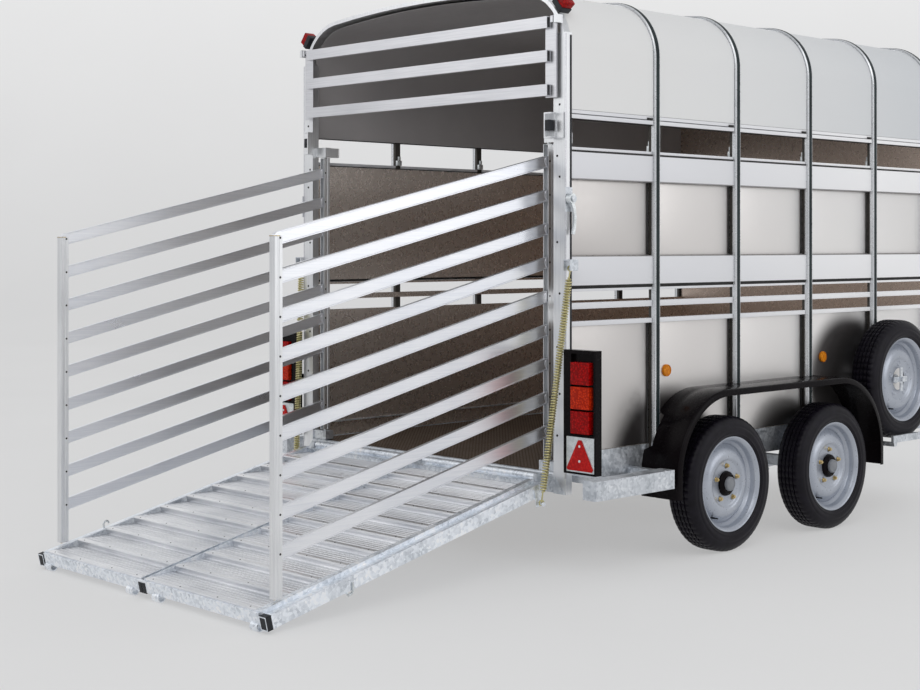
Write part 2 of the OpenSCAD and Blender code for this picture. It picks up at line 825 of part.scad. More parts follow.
// channel post, open towards the rails, with one rivet through each rail
module gate_post(y, opens, z, first_pivot) {
    back = opens < 0 ? [y + channel_back - 3, y + channel_back] : [y - channel_back, y - channel_back + 3];
    span = opens < 0 ? [y - channel_front, y + channel_back] : [y - channel_back, y + channel_front];
    half = post_t / 2;
    block([gate_x - half, back[0], z[0]], [gate_x + half, back[1], z[1]]);
    for (x = [gate_x - half, gate_x + half - 3])
        block([x, span[0], z[0]], [x + 3, span[1], z[1]]);
    for (i = [0:rail_count - 1])
        rod_x(rail_pin_r, [gate_x - half - 1.5, gate_x + half + 1.5], y, first_pivot + i * rail_pitch);
}

module front_post(s) {
    color("whitesmoke") place() on_side(s) {
        gate_post(gate_y, -1, front_post_z, rear_pivot_z + gate_rise);
        for (z = [front_post_z[0] - 1, front_post_z[1] - 3])
            block([gate_x - 15, gate_y, z], [gate_x + 15, gate_y + channel_back, z + 4]);
        rod_z(8, gate_x, gate_swing_y, [front_post_z[1], 1890]);
        rod_z(8, gate_x, gate_swing_y, [460, front_post_z[0]]);
    }
}

module rear_post(s) {
    y = gate_y - gate_reach;
    color("whitesmoke") place() on_side(s) gate_post(y, 1, rear_post_z, rear_pivot_z);
}

module gate_left_front_post() { front_post(-1); }
module gate_right_front_post() { front_post(1); }
module gate_left_rear_post() { rear_post(-1); }
module gate_right_rear_post() { rear_post(1); }

module top_gate() {
    color("whitesmoke") place() {
        for (z = [2057, 2203, 2348])
            difference() {
                block([-828, -42, z], [828, -20, z + rail_h]);
                block([-829, -39, z + 3], [829, -23, z + rail_h - 3]);
            }
        both_sides() {
            difference() {
                union() {
                    block([800, -20.5, 2050], [862, -12, 2398]);
                    block([846, -40, 2370], [861, -12, 2398]);
                }
                rod_x(8 + fit, [840, 870], -26, 2385);
            }
        }
    }
}

// latch handle: a drilled hub with a curved lever hanging from it
module latch(s) {
    x = [post_x + 8, post_x + 32];
    color("silver") place() on_side(s) difference() {
        union() {
            rod_x(22, x, 12, 1615);
            along_x([x[0] + 6, x[0] + 18]) polygon([
                [4, 1600], [22, 1604], [34, 1580], [40, 1540], [36, 1490], [30, 1462],
                [18, 1464], [24, 1500], [26, 1540], [20, 1572]
            ]);
        }
        rod_x(8 + fit, [post_x, post_x + 40], 12, 1615);
    }
}

module latch_left() { latch(-1); }
module latch_right() { latch(1); }

// ---------- one line for each node ----------

chassis();
floor();
rear_frame();
hoops();
side_panels();
side_bands();
roof();
front_wall();
mudguards();
light_housings();
rear_lenses();
marker_lamps();
running_gear();
spare_carrier();
spare_tyre();
spare_rim();
overrun_housing();
coupling_head();
coupling_handle();
handbrake_lever();
jockey_leg();
jockey_fork();
jockey_wheel();
ramp_frame();
ramp_planks();
top_gate();
latch_left();
latch_right();
spring_left();
spring_right();
gate_left_front_post();
gate_right_front_post();
gate_left_rear_post();
gate_right_rear_post();
tyre_rear_left();
tyre_rear_right();
tyre_front_left();
tyre_front_right();
rim_rear_left();
rim_rear_right();
rim_front_left();
rim_front_right();
for (i = [1:rail_count]) {
    gate_rail(-1, i);
    gate_rail(1, i);
}
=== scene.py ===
import math

import bmesh
import bpy
from mathutils import Matrix, Vector


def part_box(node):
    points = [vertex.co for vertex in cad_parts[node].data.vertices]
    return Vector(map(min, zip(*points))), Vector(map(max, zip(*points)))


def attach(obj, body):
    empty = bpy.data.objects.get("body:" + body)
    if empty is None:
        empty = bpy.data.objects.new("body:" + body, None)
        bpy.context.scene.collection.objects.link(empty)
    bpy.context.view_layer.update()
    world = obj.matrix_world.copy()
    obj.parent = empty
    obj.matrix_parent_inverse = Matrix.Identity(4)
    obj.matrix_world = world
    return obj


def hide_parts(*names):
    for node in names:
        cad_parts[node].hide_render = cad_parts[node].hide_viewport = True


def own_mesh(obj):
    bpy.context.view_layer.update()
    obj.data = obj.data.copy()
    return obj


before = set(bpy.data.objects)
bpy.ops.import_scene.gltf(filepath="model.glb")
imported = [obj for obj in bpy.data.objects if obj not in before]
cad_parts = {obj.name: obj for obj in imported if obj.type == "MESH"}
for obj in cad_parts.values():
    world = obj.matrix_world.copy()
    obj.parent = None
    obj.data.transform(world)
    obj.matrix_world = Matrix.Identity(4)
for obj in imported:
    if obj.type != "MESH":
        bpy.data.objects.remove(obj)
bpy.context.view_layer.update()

# ---------- places and sizes, in metres ----------
# REAR is the rear face of the body, and every place given with at() counts from it.
FLOOR_SETBACK = 0.039
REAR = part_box("floor")[0].y - FLOOR_SETBACK
HOOP_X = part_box("hoops")[1].x
ROOF_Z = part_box("hoops")[1].z
EAVE_Z = 2.268
ROOF_R = 0.275
BAY = 0.610
BAYS = 5
BODY_LEN = BAY * BAYS
HOOP_T, HOOP_W = 0.040, 0.036
PANEL_X = HOOP_X - HOOP_T
BAND_X = HOOP_X - 0.015
POST_X, POST_D = 0.900, 0.038
FLOOR_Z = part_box("floor")[1].z
SLOPE = math.radians(13)
HINGE = Vector((0, REAR - 0.030, FLOOR_Z - 0.022))
RAMP_LEN = 1.545
GATE_X, GATE_Y, GATE_REACH = 0.770, 0.024, 1.458
RAIL_LEN = GATE_REACH / math.cos(SLOPE)
RAILS, RAIL_PITCH, FIRST_PIVOT = 9, 0.146, 0.276
TYRE_R, TYRE_W = 0.313, 0.154
WHEEL_X = 0.988
AXLE_MIDDLE, AXLE_HALF = 1.390, 0.425
AXLES = {"rear": AXLE_MIDDLE - AXLE_HALF, "front": AXLE_MIDDLE + AXLE_HALF}
SPARE = Vector((0.992, REAR + 2.474, 0.708))
SIDES = {"right": 1, "left": -1}
QUARTER = math.pi / 2


def at(x, y, z):
    """A point whose place along the trailer is given from the body's rear face."""
    return Vector((x, REAR + y, z))


# ---------- meshes ----------

BEVEL_FROM = math.radians(40)
BOX_FACES = [(0, 1, 3, 2), (4, 6, 7, 5), (0, 4, 5, 1), (2, 3, 7, 6), (0, 2, 6, 4), (1, 5, 7, 3)]


def piece(name, verts, faces, material, body, sharp=35, bevel=0.0):
    """A mesh that is smooth up to sharp degrees, with rounded edges where bevel is given."""
    mesh = bpy.data.meshes.new(name)
    mesh.from_pydata([tuple(v) for v in verts], [], faces)
    clean = bmesh.new()
    clean.from_mesh(mesh)
    bmesh.ops.recalc_face_normals(clean, faces=clean.faces)
    if bevel:
        edges = [e for e in clean.edges if e.is_manifold and e.calc_face_angle() > BEVEL_FROM]
        bmesh.ops.bevel(clean, geom=edges, offset=bevel, segments=2, profile=0.7, affect="EDGES",
                        clamp_overlap=True)
    clean.to_mesh(mesh)
    clean.free()
    for polygon in mesh.polygons:
        polygon.use_smooth = True
    mesh.set_sharp_from_angle(angle=math.radians(sharp))
    mesh.materials.append(material)
    obj = bpy.data.objects.new(name, mesh)
    bpy.context.scene.collection.objects.link(obj)
    if body:
        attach(obj, body)
    return obj


def skin(rows, n, ring=False, columns=None):
    """Faces between rows of n points each; a ring goes on from the last row to the first."""
    faces = []
    for k in range(rows if ring else rows - 1):
        j = (k + 1) % rows
        for i in range(columns or n):
            m = (i + 1) % n
            faces.append((k * n + i, k * n + m, j * n + m, j * n + i))
    return faces


class Form:
    """Vertices and faces gathered from several shapes, to make one piece."""

    def __init__(self):
        self.verts, self.faces = [], []

    def add(self, verts, faces, matrix=None):
        first = len(self.verts)
        self.verts += [matrix @ Vector(v) if matrix else Vector(v) for v in verts]
        self.faces += [tuple(first + i for i in f) for f in faces]
        return self

    def block(self, lo, hi, matrix=None):
        verts = [(x, y, z) for x in (lo[0], hi[0]) for y in (lo[1], hi[1]) for z in (lo[2], hi[2])]
        return self.add(verts, BOX_FACES, matrix)

    def prism(self, outline, a, b, matrix=None):
        """An outline of 3-D points pushed by two offsets."""
        n = len(outline)
        verts = [Vector(p) + Vector(offset) for offset in (a, b) for p in outline]
        caps = [tuple(range(n)), tuple(range(2 * n - 1, n - 1, -1))]
        return self.add(verts, caps + skin(2, n), matrix)

    def sweep(self, rows):
        """Closed sections of equally many points joined in a row, with both ends closed."""
        n, count = len(rows[0]), len(rows)
        caps = [tuple(range(n)), tuple((count - 1) * n + i for i in range(n))]
        return self.add([p for row in rows for p in row], caps + skin(count, n))

    def lathe(self, profile, matrix, steps=48, closed=False):
        """(along, radius) profile turned about the matrix's X axis."""
        n = len(profile)
        angles = [2 * math.pi * k / steps for k in range(steps)]
        verts = [(x, r * math.cos(a), r * math.sin(a)) for a in angles for x, r in profile]
        faces = skin(steps, n, True, n if closed else n - 1)
        if not closed:
            ends = [end for end in (0, n - 1) if profile[end][1] > 0]
            faces += [tuple(k * n + end for k in range(steps)) for end in ends]
        return self.add(verts, faces, matrix)

    def tube(self, points, radius, steps=12):
        """A round tube through points."""
        points = [Vector(p) for p in points]
        n, verts, normal = len(points), [], None
        for i, p in enumerate(points):
            tangent = (points[min(i + 1, n - 1)] - points[max(i - 1, 0)]).normalized()
            if normal is None:
                normal = tangent.orthogonal().normalized()
            normal = (normal - tangent * normal.dot(tangent)).normalized()
            side = tangent.cross(normal)
            for k in range(steps):
                a = 2 * math.pi * k / steps
                verts.append(p + (normal * math.cos(a) + side * math.sin(a)) * radius)
        caps = [tuple(range(steps - 1, -1, -1)), tuple((n - 1) * steps + k for k in range(steps))]
        return self.add(verts, skin(n, steps) + caps)

    def make(self, name, material, body, **options):
        return piece(name, self.verts, self.faces, material, body, **options)


def move(x, y, z):
    return Matrix.Translation((x, y, z))


def turned(point, angle, axis):
    """A turn about one axis, then a move to a point."""
    return Matrix.Translation(point) @ Matrix.Rotation(angle, 4, axis)


def side_block(form, side, x, y, z):
    """A block on one side: x counts out from the middle, y from the rear face."""
    near, far = sorted((side * x[0], side * x[1]))
    form.block(at(near, y[0], z[0]), at(far, y[1], z[1]))


# ---------- materials ----------

def shader(name, color, rough=0.5, metal=0.0, coat=0.0, specular=0.5):
    material = bpy.data.materials.new(name)
    material.use_nodes = True
    tree = material.node_tree
    bsdf = tree.nodes["Principled BSDF"]
    bsdf.inputs["Base Color"].default_value = (*color, 1)
    bsdf.inputs["Roughness"].default_value = rough
    bsdf.inputs["Metallic"].default_value = metal
    bsdf.inputs["Coat Weight"].default_value = coat
    bsdf.inputs["Coat Roughness"].default_value = 0.08
    bsdf.inputs["Specular IOR Level"].default_value = specular
    return material, tree, bsdf


def place(tree, stretch=(1, 1, 1)):
    coordinates = tree.nodes.new("ShaderNodeTexCoord")
    mapping = tree.nodes.new("ShaderNodeMapping")
    mapping.inputs["Scale"].default_value = stretch
    tree.links.new(coordinates.outputs["Object"], mapping.inputs["Vector"])
    return mapping.outputs["Vector"]


def noise(tree, scale, stretch=(1, 1, 1), detail=4.0):
    node = tree.nodes.new("ShaderNodeTexNoise")
    node.inputs["Scale"].default_value = scale
    node.inputs["Detail"].default_value = detail
    node.inputs["Roughness"].default_value = 0.55
    tree.links.new(place(tree, stretch), node.inputs["Vector"])
    return node.outputs["Fac"]


def cells(tree, scale):
    node = tree.nodes.new("ShaderNodeTexVoronoi")
    node.inputs["Scale"].default_value = scale
    tree.links.new(place(tree), node.inputs["Vector"])
    return node.outputs


def ramp(tree, value, stops):
    """Colours at rising positions, blended between them."""
    node = tree.nodes.new("ShaderNodeValToRGB")
    elements = node.color_ramp.elements
    for end in (0, -1):
        elements[end].position, elements[end].color = stops[end][0], (*stops[end][1], 1)
    for position, color in stops[1:-1]:
        elements.new(position).color = (*color, 1)
    tree.links.new(value, node.inputs["Fac"])
    return node.outputs["Color"]


def span(tree, value, low, high, start=0.3, end=0.7, soft=False):
    """Maps the range from start to end onto low to high."""
    node = tree.nodes.new("ShaderNodeMapRange")
    if soft:
        node.interpolation_type = "SMOOTHSTEP"
    node.inputs["From Min"].default_value, node.inputs["From Max"].default_value = start, end
    node.inputs["To Min"].default_value, node.inputs["To Max"].default_value = low, high
    tree.links.new(value, node.inputs["Value"])
    return node.outputs["Result"]


def math_node(tree, operation, a, b=0):
    node = tree.nodes.new("ShaderNodeMath")
    node.operation = operation
    for socket, value in zip(node.inputs, (a, b)):
        if isinstance(value, (int, float)):
            socket.default_value = value
        else:
            tree.links.new(value, socket)
    return node.outputs["Value"]


def bump(tree, bsdf, height, strength, distance):
    node = tree.nodes.new("ShaderNodeBump")
    node.inputs["Strength"].default_value = strength
    node.inputs["Distance"].default_value = distance
    tree.links.new(height, node.inputs["Height"])
    tree.links.new(node.outputs["Normal"], bsdf.inputs["Normal"])


def mottled(name, dark, light, rough, metal, scale, relief=0.0003, coat=0.0, specular=0.5):
    """A surface whose colour, gloss and relief vary with a soft noise."""
    material, tree, bsdf = shader(name, light, rough, metal, coat, specular)
    wide, fine = noise(tree, scale), noise(tree, scale * 14, detail=3.0)
    tree.links.new(ramp(tree, wide, [(0.3, dark), (0.7, light)]), bsdf.inputs["Base Color"])
    tree.links.new(span(tree, fine, rough - 0.08, rough + 0.08), bsdf.inputs["Roughness"])
    bump(tree, bsdf, fine, 0.35, relief)
    return material


def brushed(name, dark, light, rough, along):
    """Extruded aluminium: faint lines along the extrusion, with soft smudges."""
    stretch = {"x": (0.02, 1, 1), "y": (1, 0.02, 1), "z": (1, 1, 0.02)}[along]
    material, tree, bsdf = shader(name, light, rough, 0.9)
    lines, smudge = noise(tree, 190, stretch, 2.0), noise(tree, 2.2, detail=2.0)
    both = math_node(tree, "ADD", math_node(tree, "MULTIPLY", lines, 0.45),
                     math_node(tree, "MULTIPLY", smudge, 0.55))
    tree.links.new(ramp(tree, both, [(0.35, dark), (0.62, light)]), bsdf.inputs["Base Color"])
    tree.links.new(span(tree, smudge, rough - 0.03, rough + 0.04), bsdf.inputs["Roughness"])
    bump(tree, bsdf, lines, 0.12, 0.0002)
    return material


def split_place(tree):
    """The X, Y and Z sockets of the place on the surface."""
    split = tree.nodes.new("ShaderNodeSeparateXYZ")
    tree.links.new(place(tree), split.inputs["Vector"])
    return split.outputs


def sheet_finish(tree, bsdf, scale, low, high, relief):
    """Fine relief and gloss of a smooth sheet."""
    fine = noise(tree, scale, detail=3.0)
    tree.links.new(span(tree, fine, low, high), bsdf.inputs["Roughness"])
    bump(tree, bsdf, fine, 0.2, relief)


def along_trailer(name, stops, rough, metal, cloud=0.12, relief=0.0003):
    """A sheet whose tone changes softly from the rear of the body (0) to its front (1), as painted shading
    along the body.
    """
    material, tree, bsdf = shader(name, stops[-1][1], rough, metal)
    along = span(tree, split_place(tree)["Y"], 0.0, 1.0, REAR, REAR + BODY_LEN)
    tone = math_node(tree, "ADD", along, math_node(tree, "MULTIPLY", noise(tree, 1.8, detail=1.0), cloud))
    tree.links.new(ramp(tree, tone, stops), bsdf.inputs["Base Color"])
    sheet_finish(tree, bsdf, 40, rough - 0.03, rough + 0.03, relief)
    return material


def nearness(tree, across, up, radius, reach):
    """1 inside a circle of this radius about (across, up) = (0, 0), falling to 0 at its reach."""
    squares = [math_node(tree, "MULTIPLY", value, value) for value in (across, up)]
    length = math_node(tree, "SQRT", math_node(tree, "ADD", *squares))
    return span(tree, length, 1.0, 0.0, radius, radius + reach, soft=True)


# Painted reflections of the mudguards, wheels and spare, as dark soft patches on the outer sheets: place
# along the body, height, radius, reach, right side only.
PAINTED_REFLECTIONS = ((0.715, 0.375, 0.32, 0.11, False), (1.660, 0.330, 0.22, 0.17, False),
           (2.225, 0.700, 0.29, 0.13, True))
MIX_A, MIX_B, MIX_RESULT = 6, 7, 2  # the colour sockets of a Mix node


def panel_outside(name):
    """Smooth beige-grey sheet with painted shading: darker at the rear and whiter towards the front, and dark
    behind the wheels and the spare, where their reflections are painted in.
    """
    material, tree, bsdf = shader(name, (0.7, 0.68, 0.66), 0.34, 0.80, 0.1)
    x, y, z = split_place(tree)
    # painted shading: the tone rises from the rear towards the front
    along = span(tree, y, 0.0, 0.75, REAR, REAR + 2.2)
    tone = math_node(tree, "ADD", along, math_node(tree, "MULTIPLY", noise(tree, 1.2, detail=1.0), 0.3))
    sheet = ramp(tree, tone, [(0.1, (0.545, 0.52, 0.505)), (0.5, (0.83, 0.80, 0.78)),
                              (1.0, (0.98, 0.965, 0.95))])
    # painted reflections: the sheet turns near-black inside each patch
    dark = 0.0
    for middle, height, radius, reach, right_only in PAINTED_REFLECTIONS:
        spot = nearness(tree, math_node(tree, "SUBTRACT", y, REAR + middle),
                        math_node(tree, "SUBTRACT", z, height), radius, reach)
        if right_only:
            spot = math_node(tree, "MULTIPLY", spot, math_node(tree, "GREATER_THAN", x, 0.0))
        dark = math_node(tree, "MAXIMUM", spot, dark)
    mix = tree.nodes.new("ShaderNodeMix")
    mix.data_type = "RGBA"
    tree.links.new(math_node(tree, "MULTIPLY", dark, 0.93), mix.inputs["Factor"])
    tree.links.new(sheet, mix.inputs[MIX_A])
    mix.inputs[MIX_B].default_value = (0.030, 0.024, 0.024, 1)
    tree.links.new(mix.outputs[MIX_RESULT], bsdf.inputs["Base Color"])
    sheet_finish(tree, bsdf, 30, 0.30, 0.38, 0.0002)
    return material


def galvanised(name, painted_light_gain=1.0):
    """Dull zinc with crystal-shaped spangles and pale runs; a gain above 1 makes a brighter copy, painted
    light.
    """
    material, tree, bsdf = shader(name, (0.6, 0.62, 0.64), 0.42, 0.85)
    tone = math_node(tree, "ADD", math_node(tree, "MULTIPLY", cells(tree, 85)["Color"], 0.35),
                     math_node(tree, "MULTIPLY", noise(tree, 9), 0.65))
    tones = [(0.3, (0.46, 0.49, 0.53)), (0.55, (0.68, 0.71, 0.75)), (0.75, (0.86, 0.88, 0.91))]
    tones = [(position, tuple(min(1.0, c * painted_light_gain) for c in color)) for position, color in tones]
    tree.links.new(ramp(tree, tone, tones), bsdf.inputs["Base Color"])
    tree.links.new(span(tree, tone, 0.32, 0.55), bsdf.inputs["Roughness"])
    bump(tree, bsdf, noise(tree, 160), 0.3, 0.0004)
    return material


def treadplate(name):
    """Brown chequered floor: raised bars that cross each other's direction."""
    material, tree, bsdf = shader(name, (0.2, 0.15, 0.11), 0.45, 0.6)
    place_on = split_place(tree)
    waves = []
    for operation in ("ADD", "SUBTRACT"):
        diagonal = math_node(tree, operation, place_on["X"], place_on["Y"])
        waves.append(math_node(tree, "SINE", math_node(tree, "MULTIPLY", diagonal, 150.0)))
    raised = span(tree, math_node(tree, "MULTIPLY", *waves), 0.0, 1.0, 0.15, 0.5)
    # the raised bars are lighter and glossier, in soft patches
    bar_tone = math_node(tree, "MULTIPLY", raised, span(tree, noise(tree, 6), 0.55, 1.0))
    tree.links.new(ramp(tree, bar_tone, [(0.0, (0.105, 0.072, 0.050)), (1.0, (0.42, 0.34, 0.27))]),
                   bsdf.inputs["Base Color"])
    tree.links.new(span(tree, bar_tone, 0.55, 0.32, 0, 1), bsdf.inputs["Roughness"])
    bump(tree, bsdf, raised, 0.8, 0.0015)
    return material


def moulded_lens(name, color, dark):
    """A plastic lens moulded into small prisms."""
    material, tree, bsdf = shader(name, color, 0.22, 0.0, 0.0, 0.12)
    prisms = cells(tree, 110)["Distance"]
    tree.links.new(ramp(tree, prisms, [(0.0, color), (0.6, dark)]), bsdf.inputs["Base Color"])
    bump(tree, bsdf, prisms, 0.5, 0.0015)
    return material


GALVANISED = galvanised("galvanised_steel")
# painted light: the ramp's side boxes take a brighter copy of the same zinc, as they stand in more light
BOX_ZINC_PAINTED_LIT = galvanised("galvanised_box_painted_lit", 1.32)
POST_METAL = brushed("post_extrusion", (0.67, 0.68, 0.70), (0.84, 0.85, 0.86), 0.34, "z")
RAIL_METAL = brushed("rail_extrusion", (0.74, 0.76, 0.81), (0.86, 0.87, 0.90), 0.30, "y")
CROSS_METAL = brushed("cross_extrusion", (0.56, 0.565, 0.59), (0.72, 0.72, 0.745), 0.34, "x")
TREAD_METAL = brushed("tread_extrusion", (0.70, 0.715, 0.745), (0.97, 0.975, 0.99), 0.34, "x")
HOOP_METAL = mottled("hoop_extrusion", (0.62, 0.64, 0.66), (0.80, 0.81, 0.83), 0.30, 0.9, 3,
                     relief=0.00003)
HOOP_STRIP = mottled("hoop_strip", (0.006, 0.012, 0.014), (0.020, 0.034, 0.036), 0.42, 0.0, 6, specular=0.22)
PANEL_OUT = panel_outside("side_panel_outside")
# Painted shading along the body: the inner sheets and the roof grow darker towards the front, and the bands
# lighter.
PANEL_IN = along_trailer("side_panel_inside", [(0.0, (0.70, 0.645, 0.60)), (0.35, (0.60, 0.525, 0.47)),
                                               (1.0, (0.58, 0.485, 0.42))], 0.28, 0.80, 0.22, 0.00001)
FRONT_IN = along_trailer("front_panel_inside", [(0.0, (0.72, 0.60, 0.53)), (1.0, (0.60, 0.49, 0.42))],
                         0.28, 0.80, 0.1, 0.00001)
BAND_WHITE = along_trailer("band_white", [(0.0, (0.70, 0.705, 0.735)), (0.45, (0.78, 0.785, 0.81)),
                                          (0.85, (0.95, 0.95, 0.96))], 0.42, 0.15)
ROOF_WHITE = along_trailer("roof_white", [(0.0, (0.79, 0.785, 0.775)), (0.45, (0.76, 0.765, 0.765)),
                                          (1.0, (0.66, 0.68, 0.70))], 0.48, 0.0, relief=0.0008)
ROOF_INSIDE = mottled("roof_inside", (0.40, 0.382, 0.382), (0.47, 0.450, 0.450), 0.60, 0.0, 2)
BLACK_GLOSS = mottled("black_gloss", (0.0030, 0.0022, 0.0028), (0.0065, 0.0048, 0.0058), 0.24, 0.0, 5,
                      specular=0.07)
BLACK_RUBBER = mottled("black_rubber", (0.010, 0.011, 0.014), (0.022, 0.024, 0.029), 0.55, 0.0, 30,
                       specular=0.3)
TYRE_RUBBER = mottled("tyre_rubber", (0.0035, 0.0028, 0.0052), (0.008, 0.0065, 0.0115), 0.42, 0.0, 22,
                      relief=0.0006, specular=0.17)
RIM_SILVER = mottled("rim_silver", (0.38, 0.41, 0.47), (0.47, 0.50, 0.56), 0.34, 0.60, 8, coat=0.25)
HUB_GREY = mottled("hub_cap_grey", (0.16, 0.17, 0.19), (0.24, 0.25, 0.27), 0.45, 0.0, 20)
BRASS_ZINC = mottled("brass_zinc", (0.46, 0.34, 0.14), (0.72, 0.58, 0.32), 0.30, 0.9, 60)
SPRING_ZINC = mottled("spring_zinc", (0.40, 0.36, 0.15), (0.74, 0.68, 0.40), 0.30, 0.85, 40)
CAST_ZINC = mottled("cast_zinc", (0.52, 0.55, 0.56), (0.80, 0.83, 0.84), 0.30, 0.85, 30, relief=0.0006)
LENS_RED = moulded_lens("lens_red", (0.58, 0.004, 0.004), (0.22, 0.001, 0.001))
LENS_AMBER = moulded_lens("lens_amber", (0.80, 0.050, 0.006), (0.36, 0.014, 0.002))
REFLECTOR = moulded_lens("reflector_red", (0.66, 0.02, 0.015), (0.40, 0.008, 0.008))
AMBER_DISC = moulded_lens("amber_reflector", (0.92, 0.36, 0.02), (0.60, 0.18, 0.01))
# Near-black: painted shade on the wall gap strips, and also the colour of the rivet and bolt heads
DARK_INSIDE = mottled("dark_gap", (0.020, 0.019, 0.019), (0.038, 0.036, 0.035), 0.6, 0.0, 12, specular=0.2)
# painted shade for the inner part of the hoops, beside the sheets
CHANNEL_SHADE = mottled("channel_painted_shade", (0.050, 0.046, 0.042), (0.085, 0.078, 0.070), 0.5, 0.3, 9,
                       specular=0.3)
EDGE_GREY = mottled("edge_grey", (0.26, 0.255, 0.26), (0.34, 0.335, 0.34), 0.5, 0.3, 9)
TREADPLATE = treadplate("treadplate")


def paint(node, material):
    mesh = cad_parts[node].data
    mesh.materials.clear()
    mesh.materials.append(material)


def paint_faces(node, material, chosen):
    """Gives the faces of a node for which chosen(centre, normal) holds a second material."""
    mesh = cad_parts[node].data
    mesh.materials.append(material)
    slot = len(mesh.materials) - 1
    for polygon in mesh.polygons:
        if chosen(polygon.center, polygon.normal):
            polygon.material_index = slot


SILL_TOP = 0.50  # the rear frame is galvanised up to here, and outside its posts
for node in ("chassis", "running_gear", "spare_carrier", "overrun_housing", "jockey_leg", "jockey_fork"):
    paint(node, GALVANISED)
for node in ("coupling_head", "coupling_handle", "handbrake_lever", "latch_left", "latch_right"):
    paint(node, CAST_ZINC)
for node, material in (("ramp_frame", BOX_ZINC_PAINTED_LIT), ("rear_frame", POST_METAL), ("floor", TREADPLATE),
                       ("front_wall", BAND_WHITE), ("jockey_wheel", BLACK_RUBBER), ("top_gate", CROSS_METAL),
                       ("light_housings", BLACK_GLOSS)):
    paint(node, material)
paint_faces("front_wall", FRONT_IN, lambda c, n: n.y < -0.5)
paint_faces("rear_frame", GALVANISED, lambda c, n: c.z < SILL_TOP or abs(c.x) > POST_X + 0.004)


# ---------- roof line ----------

CORNER_X = HOOP_X - ROOF_R
RISE = ROOF_Z - EAVE_Z
CROWN_R = (CORNER_X ** 2 + RISE ** 2 - ROOF_R ** 2) / (2 * (RISE - ROOF_R))
JOIN = math.atan2(EAVE_Z - (ROOF_Z - CROWN_R), CORNER_X)


def roof_path(foot_z):
    """Points of the outermost roof line and their outward normals, from right foot to left foot."""
    right = [((HOOP_X, foot_z), (1, 0))]
    for i in range(25):
        a = JOIN * i / 24
        n = (math.cos(a), math.sin(a))
        right.append(((CORNER_X + ROOF_R * n[0], EAVE_Z + ROOF_R * n[1]), n))
    for i in range(1, 13):
        a = JOIN + (QUARTER - JOIN) * i / 12
        n = (math.cos(a), math.sin(a))
        right.append(((CROWN_R * n[0], ROOF_Z - CROWN_R + CROWN_R * n[1]), n))
    left = [((-p[0], p[1]), (-n[0], n[1])) for p, n in reversed(right[:-1])]
    return right + left


def roof_sweep(form, section, foot_z):
    """A closed section of (inset, y) corners carried along the roof line."""
    form.sweep([[(p[0] - inset * q[0], REAR + y, p[1] - inset * q[1]) for inset, y in section]
                for p, q in roof_path(foot_z)])


def bay_span(i):
    """Where the sheets of a bay start and end, 1 mm clear of the hoops beside them."""
    low = POST_D + 0.001 if i == 0 else i * BAY + HOOP_W / 2 + 0.001
    high = BODY_LEN - HOOP_W - 0.001 if i == BAYS - 1 else (i + 1) * BAY - HOOP_W / 2 - 0.001
    return low, high


# ---------- hoops and roof ----------

mid_hoop_y = [i * BAY for i in range(1, BAYS)]
half = HOOP_W / 2
form, strip, channel_shade = Form(), Form(), Form()
for y in mid_hoop_y + [BODY_LEN - half]:
    roof_sweep(form, [(0.004, y - half + 0.002), (0.0015, y - half + 0.004), (0.0015, y - 0.0105),
                      (0.006, y - 0.0100), (0.006, y + 0.0130), (0.0015, y + 0.0135),
                      (0.0015, y + half - 0.002), (0.004, y + half - 0.001), (0.012, y + half),
                      (0.024, y + half), (0.024, y - half), (0.016, y - half), (0.014, y - half + 0.002),
                      (0.010, y - half + 0.002), (0.008, y - half)], FLOOR_Z)
    roof_sweep(strip, [(0.0, y - 0.006), (0.0, y + 0.009), (0.003, y + 0.0125), (0.0065, y + 0.0125),
                       (0.0065, y - 0.0095), (0.003, y - 0.0095)], FLOOR_Z + 0.002)
    # painted shade: a near-black block fills the inner part of each hoop, where shade falls between hoop and
    # sheets
    roof_sweep(channel_shade, [(0.0241, y - half + 0.001), (0.0241, y + half - 0.001), (HOOP_T, y + half - 0.001),
                         (HOOP_T, y - half + 0.001)], FLOOR_Z + 0.001)
hoops = form.make("hoop_extrusions", HOOP_METAL, "trailer")
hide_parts("hoops")
strip.make("hoop_rubber_strips", HOOP_STRIP, "trailer")
channel_shade.make("hoop_channel_shade_blocks", CHANNEL_SHADE, "trailer")

form, lining = Form(), Form()
for i in range(BAYS):
    low, high = bay_span(i)
    roof_sweep(form, [(0.013, low), (0.013, high), (0.0165, high), (0.0165, low)], 2.001)
inside_y = (POST_D + 0.002, BODY_LEN - 0.021)
roof_sweep(lining, [(HOOP_T + 0.0015, inside_y[0]), (HOOP_T + 0.0015, inside_y[1]),
                    (HOOP_T + 0.003, inside_y[1]), (HOOP_T + 0.003, inside_y[0])], 1.963)
roof = form.make("roof_sheets", ROOF_WHITE, "trailer")
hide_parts("roof")
lining.make("roof_lining", ROOF_INSIDE, "trailer")

# ---------- side walls ----------
# LININGS holds the height ranges of the inner sheets. A wall row is a form, its inner and outer distance from
# the middle, and its height range, and runs along every bay.

bands, panels, inside, shade_gaps, edges, catches = Form(), Form(), Form(), Form(), Form(), Form()
LININGS = ((0.442, 1.088), (1.141, 1.168), (1.217, 1.228), (1.241, 1.820))
WALL_ROWS = [(bands, PANEL_X + 0.004, BAND_X, z) for z in ((1.240, 1.370), (1.702, 1.822))]
WALL_ROWS += [(bands, PANEL_X - 0.004, BAND_X - 0.003, z)
              for z in ((1.067, 1.088), (1.141, 1.168), (1.217, 1.228), (1.826, 1.840))]
WALL_ROWS += [(panels, PANEL_X - 0.006, PANEL_X, z) for z in ((0.520, 1.066), (1.372, 1.700))]
